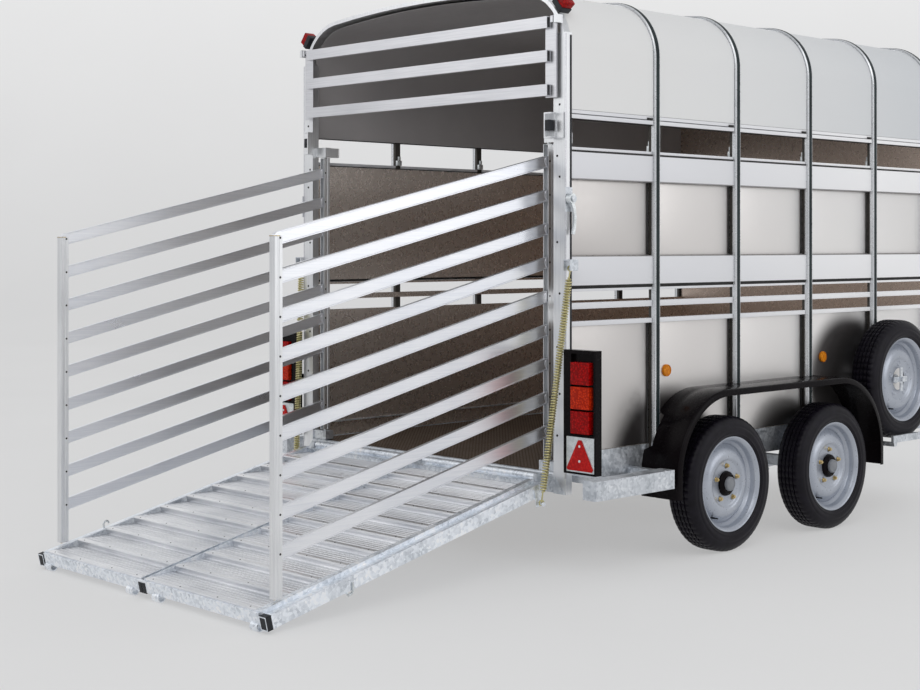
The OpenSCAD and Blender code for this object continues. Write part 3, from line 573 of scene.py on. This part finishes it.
# Painted shade: near-black strips laid over the gaps between bands, rails and sheets.
WALL_ROWS += [(shade_gaps, PANEL_X - 0.006, BAND_X - 0.0035, (1.2290, 1.2392))]
WALL_ROWS += [(shade_gaps, PANEL_X + 0.005, BAND_X + 0.0006, z) for z in ((1.2370, 1.2430), (1.8190, 1.8275))]
WALL_ROWS += [(edges, PANEL_X + 0.005, BAND_X + 0.0005, z) for z in ((1.7010, 1.7055), (1.3670, 1.3705))]
WALL_ROWS += [(bands, PANEL_X, BAND_X + 0.001, (1.984, 2.000)),
              (bands, PANEL_X, BAND_X + 0.005, (1.962, 1.980)),
              (shade_gaps, PANEL_X - 0.004, BAND_X + 0.002, (1.9590, 1.9618))]
for side in SIDES.values():
    for z in LININGS:
        side_block(inside, side, (PANEL_X - 0.0110, PANEL_X - 0.0095), inside_y, z)
    for i in range(BAYS):
        low, high = bay_span(i)
        for form, inner, outer, z in WALL_ROWS:
            side_block(form, side, (inner, outer), (low, high), z)
        # painted shade: a dark patch at the front end of each drip rail, and a dark strip near the front end
        # of each sheet
        side_block(shade_gaps, side, (BAND_X + 0.0005, BAND_X + 0.0065), (high - 0.042, high - 0.006),
                   (1.982, 1.992))
        for z in ((1.376, 1.698), (0.522, 1.064)):
            side_block(shade_gaps, side, (PANEL_X + 0.0002, PANEL_X + 0.006), (high - 0.017, high - 0.008), z)
    for y in mid_hoop_y:
        across = (PANEL_X - 0.0145, PANEL_X - 0.0005)
        side_block(catches, side, across, (y - 0.016, y + 0.016), (1.8405, 1.868))
        side_block(catches, side, across, (y - 0.006, y + 0.008), (1.868, 1.890))
bands = bands.make("side_bands_and_rails", BAND_WHITE, "trailer", bevel=0.002)
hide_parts("side_bands")
panels = panels.make("side_panel_sheets", PANEL_OUT, "trailer", bevel=0.0012)
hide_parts("side_panels")
inside.make("side_lining", PANEL_IN, "trailer")
shade_gaps.make("painted_shade_gaps", DARK_INSIDE, "trailer", bevel=0.001)
edges.make("band_shadow_edges", EDGE_GREY, "trailer")
catches.make("window_catches", CAST_ZINC, "trailer", bevel=0.002)

# ---------- ramp ----------

def on_ramp(x, u, v):
    """A point on the ramp: u runs down from the hinge, v stands square to it."""
    return Vector((x, HINGE.y - u * math.cos(SLOPE) - v * math.sin(SLOPE),
                   HINGE.z - u * math.sin(SLOPE) + v * math.cos(SLOPE)))


def ramp_block(form, x, u, v):
    """A block that lies along the ramp."""
    x, u, v = sorted(x), sorted(u), sorted(v)
    form.add([on_ramp(a, b, c) for a in x for b in u for c in v], BOX_FACES)


# Each tread rises from its foot to its nose, STEP higher, with five grooved ribs across it.
TREAD, TREADS, STEP = 0.1465, 10, 0.026
TREAD_START = RAMP_LEN - 0.014 - TREADS * TREAD
RUN, FOOT_V, NOSE_V = TREAD - 0.016, 0.010 - STEP, 0.009
RIBS = (0.17, 0.34, 0.51, 0.68, 0.85)
UNDER_V = 0.0025
line, under = [], []
for n in range(TREADS):
    u0 = TREAD_START + n * TREAD

    def slope_point(u, v=0.0):
        return u0 + u, FOOT_V + (NOSE_V - FOOT_V) * u / RUN + v

    line.append(slope_point(0))
    for rib in RIBS:
        u = rib * RUN
        line += [slope_point(u - 0.0085), slope_point(u - 0.0078, -0.0034), slope_point(u - 0.0022, -0.0034),
                 slope_point(u - 0.0012, 0.0020), slope_point(u + 0.0022, 0.0020), slope_point(u + 0.0032)]
    line += [slope_point(RUN - 0.003), (u0 + RUN, NOSE_V), (u0 + RUN + 0.003, 0.010),
             (u0 + TREAD - 0.005, 0.010), (u0 + TREAD - 0.001, 0.0085), (u0 + TREAD, 0.006)]
    under = [(u0 + TREAD - 0.003, UNDER_V), (u0 + TREAD - 0.019, UNDER_V),
             (u0 - 0.003, 0.0035 - STEP)] + under
RIVET_X, RIVET_U = (0.060, 0.250, 0.500, 0.710), 0.93
LIP_X, LIP_V, LIP = (0.7844, 0.8266), (-0.0606, -0.0054), 0.0008
lip_u = (RAMP_LEN - 0.026, RAMP_LEN - 0.001)
planks, heads, rubber, clips = Form(), Form(), Form(), Form()
for side in SIDES.values():
    outline = [on_ramp(0, u, v) for u, v in line + [(line[-1][0], UNDER_V)] + under]
    planks.prism(outline, (side * 0.0152, 0, 0), (side * 0.7548, 0, 0))
    for n in range(TREADS):
        for x in RIVET_X:
            spot = turned(on_ramp(side * x, TREAD_START + (n + RIVET_U) * TREAD, 0.0097), SLOPE, "X")
            heads.lathe([(0, 0.0032), (0.0008, 0.0028), (0.0012, 0.0)],
                        spot @ Matrix.Rotation(-QUARTER, 4, "Y"), 12)
    # black plug in the end of the side box, a thin lip around it, and the plug of the middle web
    ramp_block(rubber, (side * 0.7895, side * 0.8215), (RAMP_LEN - 0.030, RAMP_LEN - 0.0005),
               (-0.0555, -0.0105))
    for v in ((LIP_V[0], LIP_V[0] + LIP), (LIP_V[1] - LIP, LIP_V[1])):
        ramp_block(rubber, (side * LIP_X[0], side * LIP_X[1]), lip_u, v)
    for x in ((LIP_X[0], LIP_X[0] + LIP), (LIP_X[1] - LIP, LIP_X[1])):
        ramp_block(rubber, (side * x[0], side * x[1]), lip_u, LIP_V)
    ramp_block(rubber, (side * 0.002, side * 0.024), (RAMP_LEN - 0.030, RAMP_LEN - 0.002), (-0.050, -0.006))
planks = planks.make("ramp_tread_planks", TREAD_METAL, "ramp", sharp=20)
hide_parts("ramp_planks")
heads.make("ramp_rivet_heads", DARK_INSIDE, "ramp")
rubber.make("ramp_end_caps", BLACK_RUBBER, "ramp")
# gate hook on the left flange, catch under the right side box
CLIP_WIRE = 0.0045
for points in (((-0.771, 1.236, 0.006), (-0.771, 1.236, 0.026), (-0.771, 1.228, 0.034),
                (-0.771, 1.218, 0.036), (-0.771, 1.210, 0.030), (-0.771, 1.209, 0.022)),
               ((0.8285, 1.130, -0.030), (0.8310, 1.134, -0.058), (0.8285, 1.142, -0.070),
                (0.8285, 1.160, -0.072), (0.8310, 1.168, -0.060))):
    clips.tube([on_ramp(*point) for point in points], CLIP_WIRE, 10)
clips.make("ramp_hook_and_catch", CAST_ZINC, "ramp")

# ---------- ramp gates ----------
# A rail's half height and half thickness; a post's half width, and its depth before and behind the pivots.

RAIL_H, RAIL_T = 0.025, 0.010
POST_HALF, POST_OPEN, POST_BACK = 0.015, 0.010, 0.029
rail_section = []
for s in (1, -1):
    rail_section += [
        (s * RAIL_T, -s * (RAIL_H - 0.001)), (s * RAIL_T, -s * (RAIL_H - 0.0045)),
        (s * (RAIL_T - 0.0022), -s * (RAIL_H - 0.006)), (s * (RAIL_T - 0.0022), s * (RAIL_H - 0.006)),
        (s * RAIL_T, s * (RAIL_H - 0.0045)), (s * RAIL_T, s * (RAIL_H - 0.001)),
        (s * (RAIL_T - 0.001), s * RAIL_H), (-s * (RAIL_T - 0.001), s * RAIL_H)]
outer = [(POST_HALF, POST_OPEN), (POST_HALF, -0.004), (POST_HALF - 0.0012, -0.006),
         (POST_HALF - 0.0012, -0.012), (POST_HALF, -0.014), (POST_HALF, -POST_BACK + 0.004),
         (POST_HALF - 0.002, -POST_BACK), (0.006, -POST_BACK), (0.004, -POST_BACK + 0.0012)]
hollow = [(-POST_HALF + 0.0026, POST_OPEN), (-POST_HALF + 0.0026, -POST_BACK + 0.003)]
post_section = outer + [(-a, b) for a, b in reversed(outer)] + hollow + [(-a, b) for a, b in reversed(hollow)]
eye_in, eye_out, eye_half = 0.0041, RAIL_H - 0.001, RAIL_T - 0.0005
for name, side in SIDES.items():
    for i in range(1, RAILS + 1):
        pivot = at(side * GATE_X, GATE_Y - GATE_REACH, FIRST_PIVOT + (i - 1) * RAIL_PITCH)
        turn = turned(pivot, SLOPE, "X")
        form = Form()
        form.prism([(x, 0, z) for x, z in rail_section], (0, 0.002, 0), (0, RAIL_LEN - 0.002, 0), turn)
        for end in (0, RAIL_LEN):
            form.lathe([(-eye_half, eye_in), (-eye_half, eye_out), (eye_half, eye_out), (eye_half, eye_in)],
                       turn @ move(0, end, 0), 32, closed=True)
        rail = form.make(f"rail_{name}_{i}_extrusion", RAIL_METAL, f"rail_{name}_{i}", sharp=25)
        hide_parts(f"gate_{name}_rail_{i}")

    for which, y, opens, z in (("front", GATE_Y, -1, (0.490, 1.855)),
                               ("rear", GATE_Y - GATE_REACH, 1, (0.112, 1.452))):
        body = f"gate_post_{which}_{name}"
        form, rivets, pins = Form(), Form(), Form()
        form.prism([at(side * GATE_X + a, y + opens * b, z[0]) for a, b in post_section],
                   (0, 0, 0), (0, 0, z[1] - z[0]))
        post = form.make(f"post_{which}_{name}_extrusion", POST_METAL, body, sharp=25)
        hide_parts(f"gate_{name}_{which}_post")
        first = FIRST_PIVOT + (GATE_REACH * math.tan(SLOPE) if which == "front" else 0)
        for i in range(RAILS):
            rivets.lathe([(-POST_HALF - 0.0012, 0), (-POST_HALF - 0.001, 0.003), (-POST_HALF, 0.0045),
                          (-0.012, 0.004), (0.012, 0.004), (POST_HALF, 0.0045), (POST_HALF + 0.001, 0.003),
                          (POST_HALF + 0.0012, 0)],
                         Matrix.Translation(at(side * GATE_X, y, first + i * RAIL_PITCH)), 16)
        rivets.make(f"post_{which}_{name}_rivets", DARK_INSIDE, body)
        # lid of the post, then the pins it swings on, or the bolt at its foot
        ends = sorted((y, y - opens * POST_BACK))
        pins.block(at(side * GATE_X - POST_HALF, ends[0], z[1] - 0.002),
                   at(side * GATE_X + POST_HALF, ends[1], z[1] + 0.001))
        if which == "front":
            for z0, z1 in ((z[1] - 0.002, 1.890), (0.460, z[0] + 0.002)):
                pins.lathe([(z0, 0), (z0 + 0.0005, 0.0072), (z0 + 0.002, 0.008), (z1 - 0.002, 0.008),
                            (z1 - 0.0005, 0.0072), (z1, 0)],
                           turned(at(side * GATE_X, 0.033, 0), -QUARTER, "Y"), 24)
        else:
            foot = at(side * GATE_X, y - opens * 0.016, 0)
            pins.tube([foot + Vector((0, 0, 0.108)), foot + Vector((0, 0, 0.128))], 0.005)
        pins.make(f"post_{which}_{name}_caps", BRASS_ZINC if which == "rear" else CAST_ZINC, body)

# ---------- wheels ----------

def facing(point, side):
    """At a point, with the X axis pointing outwards on that side."""
    return turned(point, 0 if side > 0 else math.pi, "Z")


def polar(radius, degrees):
    a = math.radians(degrees)
    return 0, radius * math.cos(a), radius * math.sin(a)


def make_tyre(name, matrix, body, node):
    """Carcass with moulded sidewall rings, circumferential grooves and cut tread blocks."""
    w, r = TYRE_W / 2, TYRE_R
    side_profile = [(w - 0.0265, 0.2065), (w - 0.020, 0.2145), (w - 0.0155, 0.2208), (w - 0.009, 0.222),
                    (w - 0.0035, 0.232), (w - 0.0025, 0.2345), (w - 0.0035, 0.237), (w - 0.0008, 0.247),
                    (w, 0.256), (w - 0.001, 0.264), (w - 0.0026, 0.2665), (w - 0.0022, 0.270),
                    (w - 0.0045, 0.281), (w - 0.0085, 0.291), (w - 0.0125, 0.298), (w - 0.0165, 0.3035),
                    (w - 0.0225, 0.3085)]
    tread = [(w - 0.028, r - 0.0018), (w - 0.036, r - 0.0006), (w - 0.0415, r - 0.0003),
             (w - 0.0425, r - 0.007), (w - 0.0475, r - 0.007), (w - 0.0485, r - 0.0002), (w - 0.063, r),
             (w - 0.064, r - 0.007), (w - 0.069, r - 0.007), (w - 0.070, r)]
    right = side_profile + tread
    profile = right + [(-x, q) for x, q in reversed(right)]
    inner = [(-(w - 0.034), 0.2065), (-(w - 0.024), 0.230), (-(w - 0.020), 0.280), (-(w - 0.040), r - 0.016),
             (w - 0.040, r - 0.016), (w - 0.020, 0.280), (w - 0.024, 0.230), (w - 0.034, 0.2065)]
    # every fourth step is a cut between tread blocks, and the blocks lean towards the shoulders
    steps, rings = 240, profile + inner
    verts = []
    for k in range(steps):
        for i, (x, q) in enumerate(rings):
            shoulder = i < len(profile) and q > 0.300
            depth = (0.0045 if q > 0.309 else 0.0028) if shoulder and k % 4 == 0 else 0.0
            a = 2 * math.pi * k / steps + (0.012 * (x / w) ** 2 if shoulder else 0.0)
            verts.append((x, (q - depth) * math.cos(a), (q - depth) * math.sin(a)))
    form = Form().add(verts, skin(steps, len(rings), True), matrix)
    tyre = form.make(name, TYRE_RUBBER, body, sharp=40)
    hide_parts(node)


NUT_CIRCLE, NUT_R = 0.0825, 0.0098


def make_rim(name, matrix, body, node, hub):
    """Pressed steel wheel: rolled flange, stepped barrel, dished disc with a raised ring."""
    f, s = TYRE_W / 2 - 0.009, Form()
    barrel = [(f - 0.0005, 0.2195), (f, 0.2175), (f - 0.001, 0.2150), (f - 0.006, 0.2095),
              (f - 0.012, 0.2035), (f - 0.016, 0.2005), (f - 0.038, 0.2000), (f - 0.043, 0.1975),
              (f - 0.050, 0.1865), (f - 0.056, 0.1825), (-f + 0.022, 0.1825), (-f + 0.014, 0.1985),
              (-f + 0.006, 0.2095),
              (-f + 0.0005, 0.2175), (-f, 0.2195), (-f + 0.004, 0.2195), (-f + 0.010, 0.2135),
              (-f + 0.016, 0.2045), (-f + 0.025, 0.1865), (f - 0.058, 0.1865), (f - 0.044, 0.2045),
              (f - 0.016, 0.2048), (f - 0.010, 0.2135), (f - 0.005, 0.2195)]
    s.lathe(barrel, matrix, 96, closed=True)
    disc = [(f - 0.0345, 0.0575), (f - 0.0340, 0.0590), (f - 0.0340, 0.1010), (f - 0.0330, 0.1045),
            (f - 0.0280, 0.1100), (f - 0.0245, 0.1150), (f - 0.0230, 0.1200), (f - 0.0225, 0.1290),
            (f - 0.0235, 0.1380), (f - 0.0270, 0.1480), (f - 0.0330, 0.1580), (f - 0.0410, 0.1670),
            (f - 0.0500, 0.1750), (f - 0.0560, 0.1830), (f - 0.0660, 0.1830), (f - 0.0560, 0.1740),
            (f - 0.0440, 0.1620), (f - 0.0340, 0.1490), (f - 0.0300, 0.1370), (f - 0.0300, 0.1210),
            (f - 0.0380, 0.1100), (f - 0.0405, 0.1040), (f - 0.0405, 0.0590), (f - 0.0405, 0.0575)]
    s.lathe(disc, matrix, 96, closed=True)
    nut_places = [matrix @ move(*polar(NUT_CIRCLE, 18 + 72 * k)) for k in range(5)]
    for spot in nut_places:
        s.lathe([(f - 0.0345, 0.0155), (f - 0.0325, 0.0150), (f - 0.0315, 0.0135), (f - 0.0330, 0.0105),
                 (f - 0.0345, 0.0100)], spot, 24)
    rim = s.make(name + "_pressing", RIM_SILVER, body, sharp=50)
    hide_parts(node)
    valve = Form()
    valve.lathe([(f - 0.052, 0.0), (f - 0.052, 0.0045), (f - 0.030, 0.0042), (f - 0.028, 0.0036),
                 (f - 0.012, 0.0036), (f - 0.012, 0.0)], matrix @ move(*polar(0.176, -121)), 12)
    valve.make(name + "_valve", BLACK_RUBBER, body)
    if not hub:
        return
    nuts = Form()
    for spot in nut_places:
        nuts.lathe([(f - 0.033, 0.0), (f - 0.033, NUT_R), (f - 0.030, 0.0112), (f - 0.0285, 0.0104)],
                   spot, 24)
        nuts.prism([polar(NUT_R, 60 * q) for q in range(6)], (f - 0.030, 0, 0), (f - 0.0205, 0, 0), spot)
        nuts.lathe([(f - 0.030, 0.0058), (f - 0.0165, 0.0058), (f - 0.0155, 0.0048), (f - 0.0155, 0.0)],
                   spot, 16)
    nuts.make(name + "_nuts", BRASS_ZINC, body, bevel=0.0004)
    collar = Form()
    collar.lathe([(f - 0.043, 0.040), (f - 0.043, 0.056), (f - 0.026, 0.056), (f - 0.022, 0.053),
                  (f - 0.018, 0.0455), (f - 0.016, 0.044), (f - 0.016, 0.030), (f - 0.043, 0.030)],
                 matrix, 64, closed=True)
    back = -TYRE_W / 2 - 0.032
    collar.lathe([(back, 0.0205), (back, 0.045), (back + 0.040, 0.045), (back + 0.046, 0.097),
                  (back + 0.002, 0.099), (back, 0.102), (back, 0.107), (back + 0.058, 0.108),
                  (back + 0.062, 0.104), (back + 0.064, 0.099), (f - 0.046, 0.099), (f - 0.0415, 0.096),
                  (f - 0.0415, 0.0205)], matrix, 64, closed=True)
    collar.make(name + "_hub_and_drum", BLACK_GLOSS, body)
    cap = Form()
    cap.lathe([(f - 0.020, 0.0), (f - 0.020, 0.0325), (f - 0.016, 0.0335), (f - 0.0055, 0.0325),
               (f - 0.0025, 0.0300), (f - 0.0015, 0.0270), (f - 0.0030, 0.0255), (f - 0.0030, 0.0)],
              matrix, 48)
    cap.make(name + "_cap", HUB_GREY, body)


for where, y in AXLES.items():
    for name, side in SIDES.items():
        matrix = facing((side * WHEEL_X, REAR + y, TYRE_R), side)
        body = f"wheel_{where}_{name}"
        make_tyre(f"tyre_{where}_{name}_tread", matrix, body, f"tyre_{where}_{name}")
        make_rim(f"rim_{where}_{name}", matrix, body, f"rim_{where}_{name}", True)
spare_matrix = Matrix.Translation(SPARE)
make_tyre("spare_tyre_tread", spare_matrix, "trailer", "spare_tyre")
make_rim("spare_rim", spare_matrix, "trailer", "spare_rim", False)

# ---------- mudguards ----------

MUD_R, MUD_Z, MUD_IN, MUD_OUT = 0.380, 0.755, 0.869, 1.080
MUD_HALF = AXLE_HALF + 0.045


def mudguard_path(inset):
    """Y-Z points over both wheels, from the rear end to the front end, moved inwards by inset."""
    start, z, r = AXLE_MIDDLE - MUD_HALF, MUD_Z - MUD_R, MUD_R - inset
    rear = [(start - r, z - 0.090), (start - r, z - 0.045)]
    rear += [(start - r * math.cos(a), z + r * math.sin(a)) for a in map(math.radians, range(0, 91, 3))]
    front = [(2 * AXLE_MIDDLE - y, q) for y, q in reversed(rear)]
    flat = [(AXLE_MIDDLE + MUD_HALF * t / 4, z + r) for t in range(-3, 4)]
    return rear + flat + front


# (distance from the middle, inset): a sheet with a rolled crease, then an outer lip that turns down
section = [(MUD_IN, 0.0), (MUD_IN + 0.060, 0.0), (MUD_IN + 0.075, 0.003), (MUD_IN + 0.090, 0.0),
           (MUD_OUT - 0.012, 0.0), (MUD_OUT - 0.004, 0.002), (MUD_OUT, 0.007), (MUD_OUT, 0.030),
           (MUD_OUT - 0.004, 0.030), (MUD_OUT - 0.0045, 0.009), (MUD_OUT - 0.008, 0.005),
           (MUD_IN + 0.092, 0.0045), (MUD_IN + 0.075, 0.0075), (MUD_IN + 0.058, 0.0045), (MUD_IN, 0.0045)]
paths = [mudguard_path(inset) for x, inset in section]
CLEAR_X = HOOP_X + 0.0015  # the inner edge stays outside the hoops
for name, side in SIDES.items():
    rows = []
    for points in zip(*paths):
        near_hoop = [any(abs(y - h) < 0.05 for h in mid_hoop_y) for y, z in points]
        rows.append([at(side * (max(x, CLEAR_X) if near else x), y, z)
                     for (x, inset), (y, z), near in zip(section, points, near_hoop)])
    guard = Form().sweep(rows).make(f"mudguard_{name}_moulding", BLACK_GLOSS, "trailer", sharp=40)
    if name == "right":
        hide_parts("mudguards")

# ---------- rear post trim ----------

seal, bolts, corner, stops = Form(), Form(), Form(), Form()
for side in SIDES.values():
    side_block(seal, side, (POST_X - 0.001, POST_X + 0.0025), (0.0265, 0.0355), (0.520, EAVE_Z + 0.050))
    side_block(corner, side, (POST_X - 0.006, POST_X + 0.0012), (-0.0012, 0.0040), (0.420, EAVE_Z + 0.055))
    side_block(stops, side, (0.8205, 0.8425), (-0.0445, -0.0125), (1.908, 1.954))
    for k, z in enumerate((0.60, 0.78, 0.98, 1.21, 1.43, 1.71, 1.80, 2.02)):
        bolts.lathe([(0, 0.0052), (0.0012, 0.0048), (0.0026, 0.0030), (0.0030, 0.0)],
                    turned(at(side * (POST_X - 0.050 + 0.014 * (k % 2)), -0.0002, z), -QUARTER, "Z"), 16)
stops.make("rear_stop_rubbers", BLACK_RUBBER, "trailer", bevel=0.003)
seal.make("rear_post_seals", BLACK_RUBBER, "trailer", bevel=0.001)
corner.make("rear_post_corner_strips", CROSS_METAL, "trailer", bevel=0.0008)
bolts.make("rear_post_bolt_heads", DARK_INSIDE, "trailer")

# ---------- coil springs ----------

COIL_R, WIRE, TURNS, PER_TURN = 0.0124, 0.0036, 80, 16
HOOK_WIRE = WIRE * 0.9
top, foot = Vector((POST_X + 0.024, REAR + 0.002, 1.322)), on_ramp(0.844, 0.084, -0.085)
for name, side in SIDES.items():
    a, b = Vector((side * top.x, top.y, top.z)), Vector((side * foot.x, foot.y, foot.z))
    along = (b - a).normalized()
    u = along.orthogonal().normalized()
    v = along.cross(u)
    start, end = 0.045, (b - a).length - 0.050
    points = []
    for k in range(TURNS * PER_TURN + 1):
        t, angle = k / (TURNS * PER_TURN), 2 * math.pi * k / PER_TURN
        r = COIL_R * min(1, 0.25 + 48 * min(t, 1 - t))
        points.append(a + along * (start + (end - start) * t)
                      + (u * math.cos(angle) + v * math.sin(angle)) * r)
    form = Form().tube(points, WIRE, 8)
    for at_end, sign in ((a, 1), (b, -1)):
        inwards = along * sign
        centre = at_end + inwards * 0.004
        ring = [centre + inwards * math.sin(w) * 0.011 + u * math.cos(w) * 0.010
                for w in [math.radians(200 - 18 * q) for q in range(17)]]
        form.tube(ring + [centre + inwards * 0.024, centre + inwards * 0.046], HOOK_WIRE, 8)
    spring = form.make(f"spring_{name}_coil", SPRING_ZINC, f"spring_{name}", sharp=60)
    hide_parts(f"spring_{name}")
    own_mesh(spring)

# ---------- rear lights and markers ----------

plates, reds, ambers, triangles, screws = Form(), Form(), Form(), Form(), Form()
for side in SIDES.values():
    for form, z in ((reds, (0.830, 0.925)), (ambers, (0.727, 0.822)), (reds, (0.624, 0.719))):
        side_block(form, side, (0.968, 1.072), (-0.048, -0.017), z)
    side_block(plates, side, (0.938, 1.092), (-0.0380, -0.0352), (0.462, 0.610))
    corners = [(0.942, 0.478), (0.948, 0.468), (1.082, 0.468), (1.088, 0.478), (1.023, 0.598), (1.007, 0.598)]
    triangles.prism([at(side * p, 0, q) for p, q in corners], (0, -0.0425, 0), (0, -0.0382, 0))
    for z in (0.509, 0.572):
        screws.lathe([(0, 0), (0.0002, 0.0045), (0.0018, 0.0058), (0.003, 0.0058), (0.003, 0)],
                     turned(at(side * 1.015, -0.0450, z), QUARTER, "Z"), 16)
plates.make("reflector_plates", CAST_ZINC, "trailer", bevel=0.001)
red = reds.make("rear_lens_red", LENS_RED, "trailer", bevel=0.005)
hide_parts("rear_lenses")
ambers.make("rear_lens_amber", LENS_AMBER, "trailer", bevel=0.005)
triangles.make("reflector_triangles", REFLECTOR, "trailer", bevel=0.0015)
screws.make("reflector_screws", BAND_WHITE, "trailer")

discs, bezels, corner_red, corner_base = Form(), Form(), Form(), Form()
for side in SIDES.values():
    for y in (0.715, 1.992):
        turn = facing(at(side * (PANEL_X + 0.0005), y, 0.842), side)
        discs.lathe([(0, 0), (0, 0.0245), (0.008, 0.0245), (0.0100, 0.0225), (0.0105, 0.0)], turn, 48)
        bezels.lathe([(0, 0.0245), (0, 0.028), (0.009, 0.0275), (0.0112, 0.0262), (0.0112, 0.0245)], turn, 48,
                     closed=True)
    tilt = turned(at(side * CORNER_X, 0, EAVE_Z), -side * math.radians(38), "Y")
    lo, hi = sorted((side * (ROOF_R + 0.026), side * (ROOF_R + 0.058)))
    corner_red.block((lo, -0.012, -0.030), (hi, 0.046, 0.030), tilt)
    lo, hi = sorted((side * (ROOF_R + 0.001), side * (ROOF_R + 0.027)))
    corner_base.block((lo, -0.014, -0.033), (hi, 0.048, 0.033), tilt)
discs = discs.make("side_reflectors", AMBER_DISC, "trailer")
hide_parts("marker_lamps")
bezels.make("side_reflector_bezels", AMBER_DISC, "trailer")
corner_red.make("corner_lamps", LENS_RED, "trailer", bevel=0.006)
corner_base.make("corner_lamp_bases", BLACK_RUBBER, "trailer", bevel=0.002)

# ---------- floor of the studio, light and camera ----------

def sweep_material(name):
    """Pale sweep that glows above the horizon, as an evenly lit backdrop does."""
    material, tree, bsdf = shader(name, (0.36, 0.36, 0.36), 0.8, 0.0, 0.0, 0.1)
    tree.links.new(ramp(tree, noise(tree, 0.4), [(0.3, (0.345, 0.345, 0.345)), (0.7, (0.365, 0.365, 0.365))]),
                   bsdf.inputs["Base Color"])
    bsdf.inputs["Emission Color"].default_value = (1, 1, 1, 1)
    tree.links.new(span(tree, split_place(tree)["Z"], 0.40, 0.66, 0.0, 9.0), bsdf.inputs["Emission Strength"])
    return material


# The sweep lies flat along the view, bends up behind the trailer and ends in a wall.
view = Vector((-0.721, 0.693, 0))
across = Vector((view.y, -view.x, 0))
SWEEP_HALF, BEND_START, BEND_R = 45.0, 13.0, 7.0
profile = [(-45.0, 0.0), (-12.0, 0.0), (0.0, 0.0), (BEND_START, 0.0)]
profile += [(BEND_START + BEND_R * math.sin(a), BEND_R - BEND_R * math.cos(a))
            for a in map(math.radians, range(6, 91, 6))]
profile += [(BEND_START + BEND_R, 22.0)]
verts = [view * d + across * w + Vector((0, 0, z)) for d, z in profile for w in (-SWEEP_HALF, SWEEP_HALF)]
faces = [(2 * i, 2 * i + 1, 2 * i + 3, 2 * i + 2) for i in range(len(profile) - 1)]
sweep = piece("studio_sweep", verts, faces, sweep_material("studio_sweep"), None, sharp=80)

world = bpy.data.worlds.new("studio")
world.use_nodes = True
background = world.node_tree.nodes["Background"]
background.inputs["Color"].default_value = (0.97, 0.98, 1.0, 1)
background.inputs["Strength"].default_value = 0.62
bpy.context.scene.world = world


def area(name, place_at, look_at, size, power):
    light = bpy.data.lights.new(name, "AREA")
    light.shape, light.energy = "RECTANGLE", power
    light.size, light.size_y = size
    obj = bpy.data.objects.new(name, light)
    bpy.context.scene.collection.objects.link(obj)
    obj.location = place_at
    obj.rotation_euler = (Vector(look_at) - Vector(place_at)).to_track_quat("-Z", "Y").to_euler()


middle = (0, REAR + 0.8, 1.0)
area("key", (5.5, REAR - 3.5, 6.5), middle, (6, 5), 120)
area("rear_fill", (-4.0, REAR - 6.0, 4.5), middle, (5, 4), 60)
area("side_fill", (7.5, REAR + 4.0, 3.0), middle, (5, 4), 70)

# The camera looks at the right rear corner from about 7 m away.
camera = bpy.data.cameras.new("camera")
camera.lens, camera.sensor_width = 61.6, 36.0
camera.shift_x, camera.shift_y = -0.0014, -0.1083
camera.clip_end = 200
eye = bpy.data.objects.new("camera", camera)
bpy.context.scene.collection.objects.link(eye)
eye.location = at(5.434, -4.976, 1.416)
eye.rotation_euler = (QUARTER, 0, math.radians(46.14))
bpy.context.scene.camera = eye
bpy.context.scene.view_settings.view_transform = "Standard"
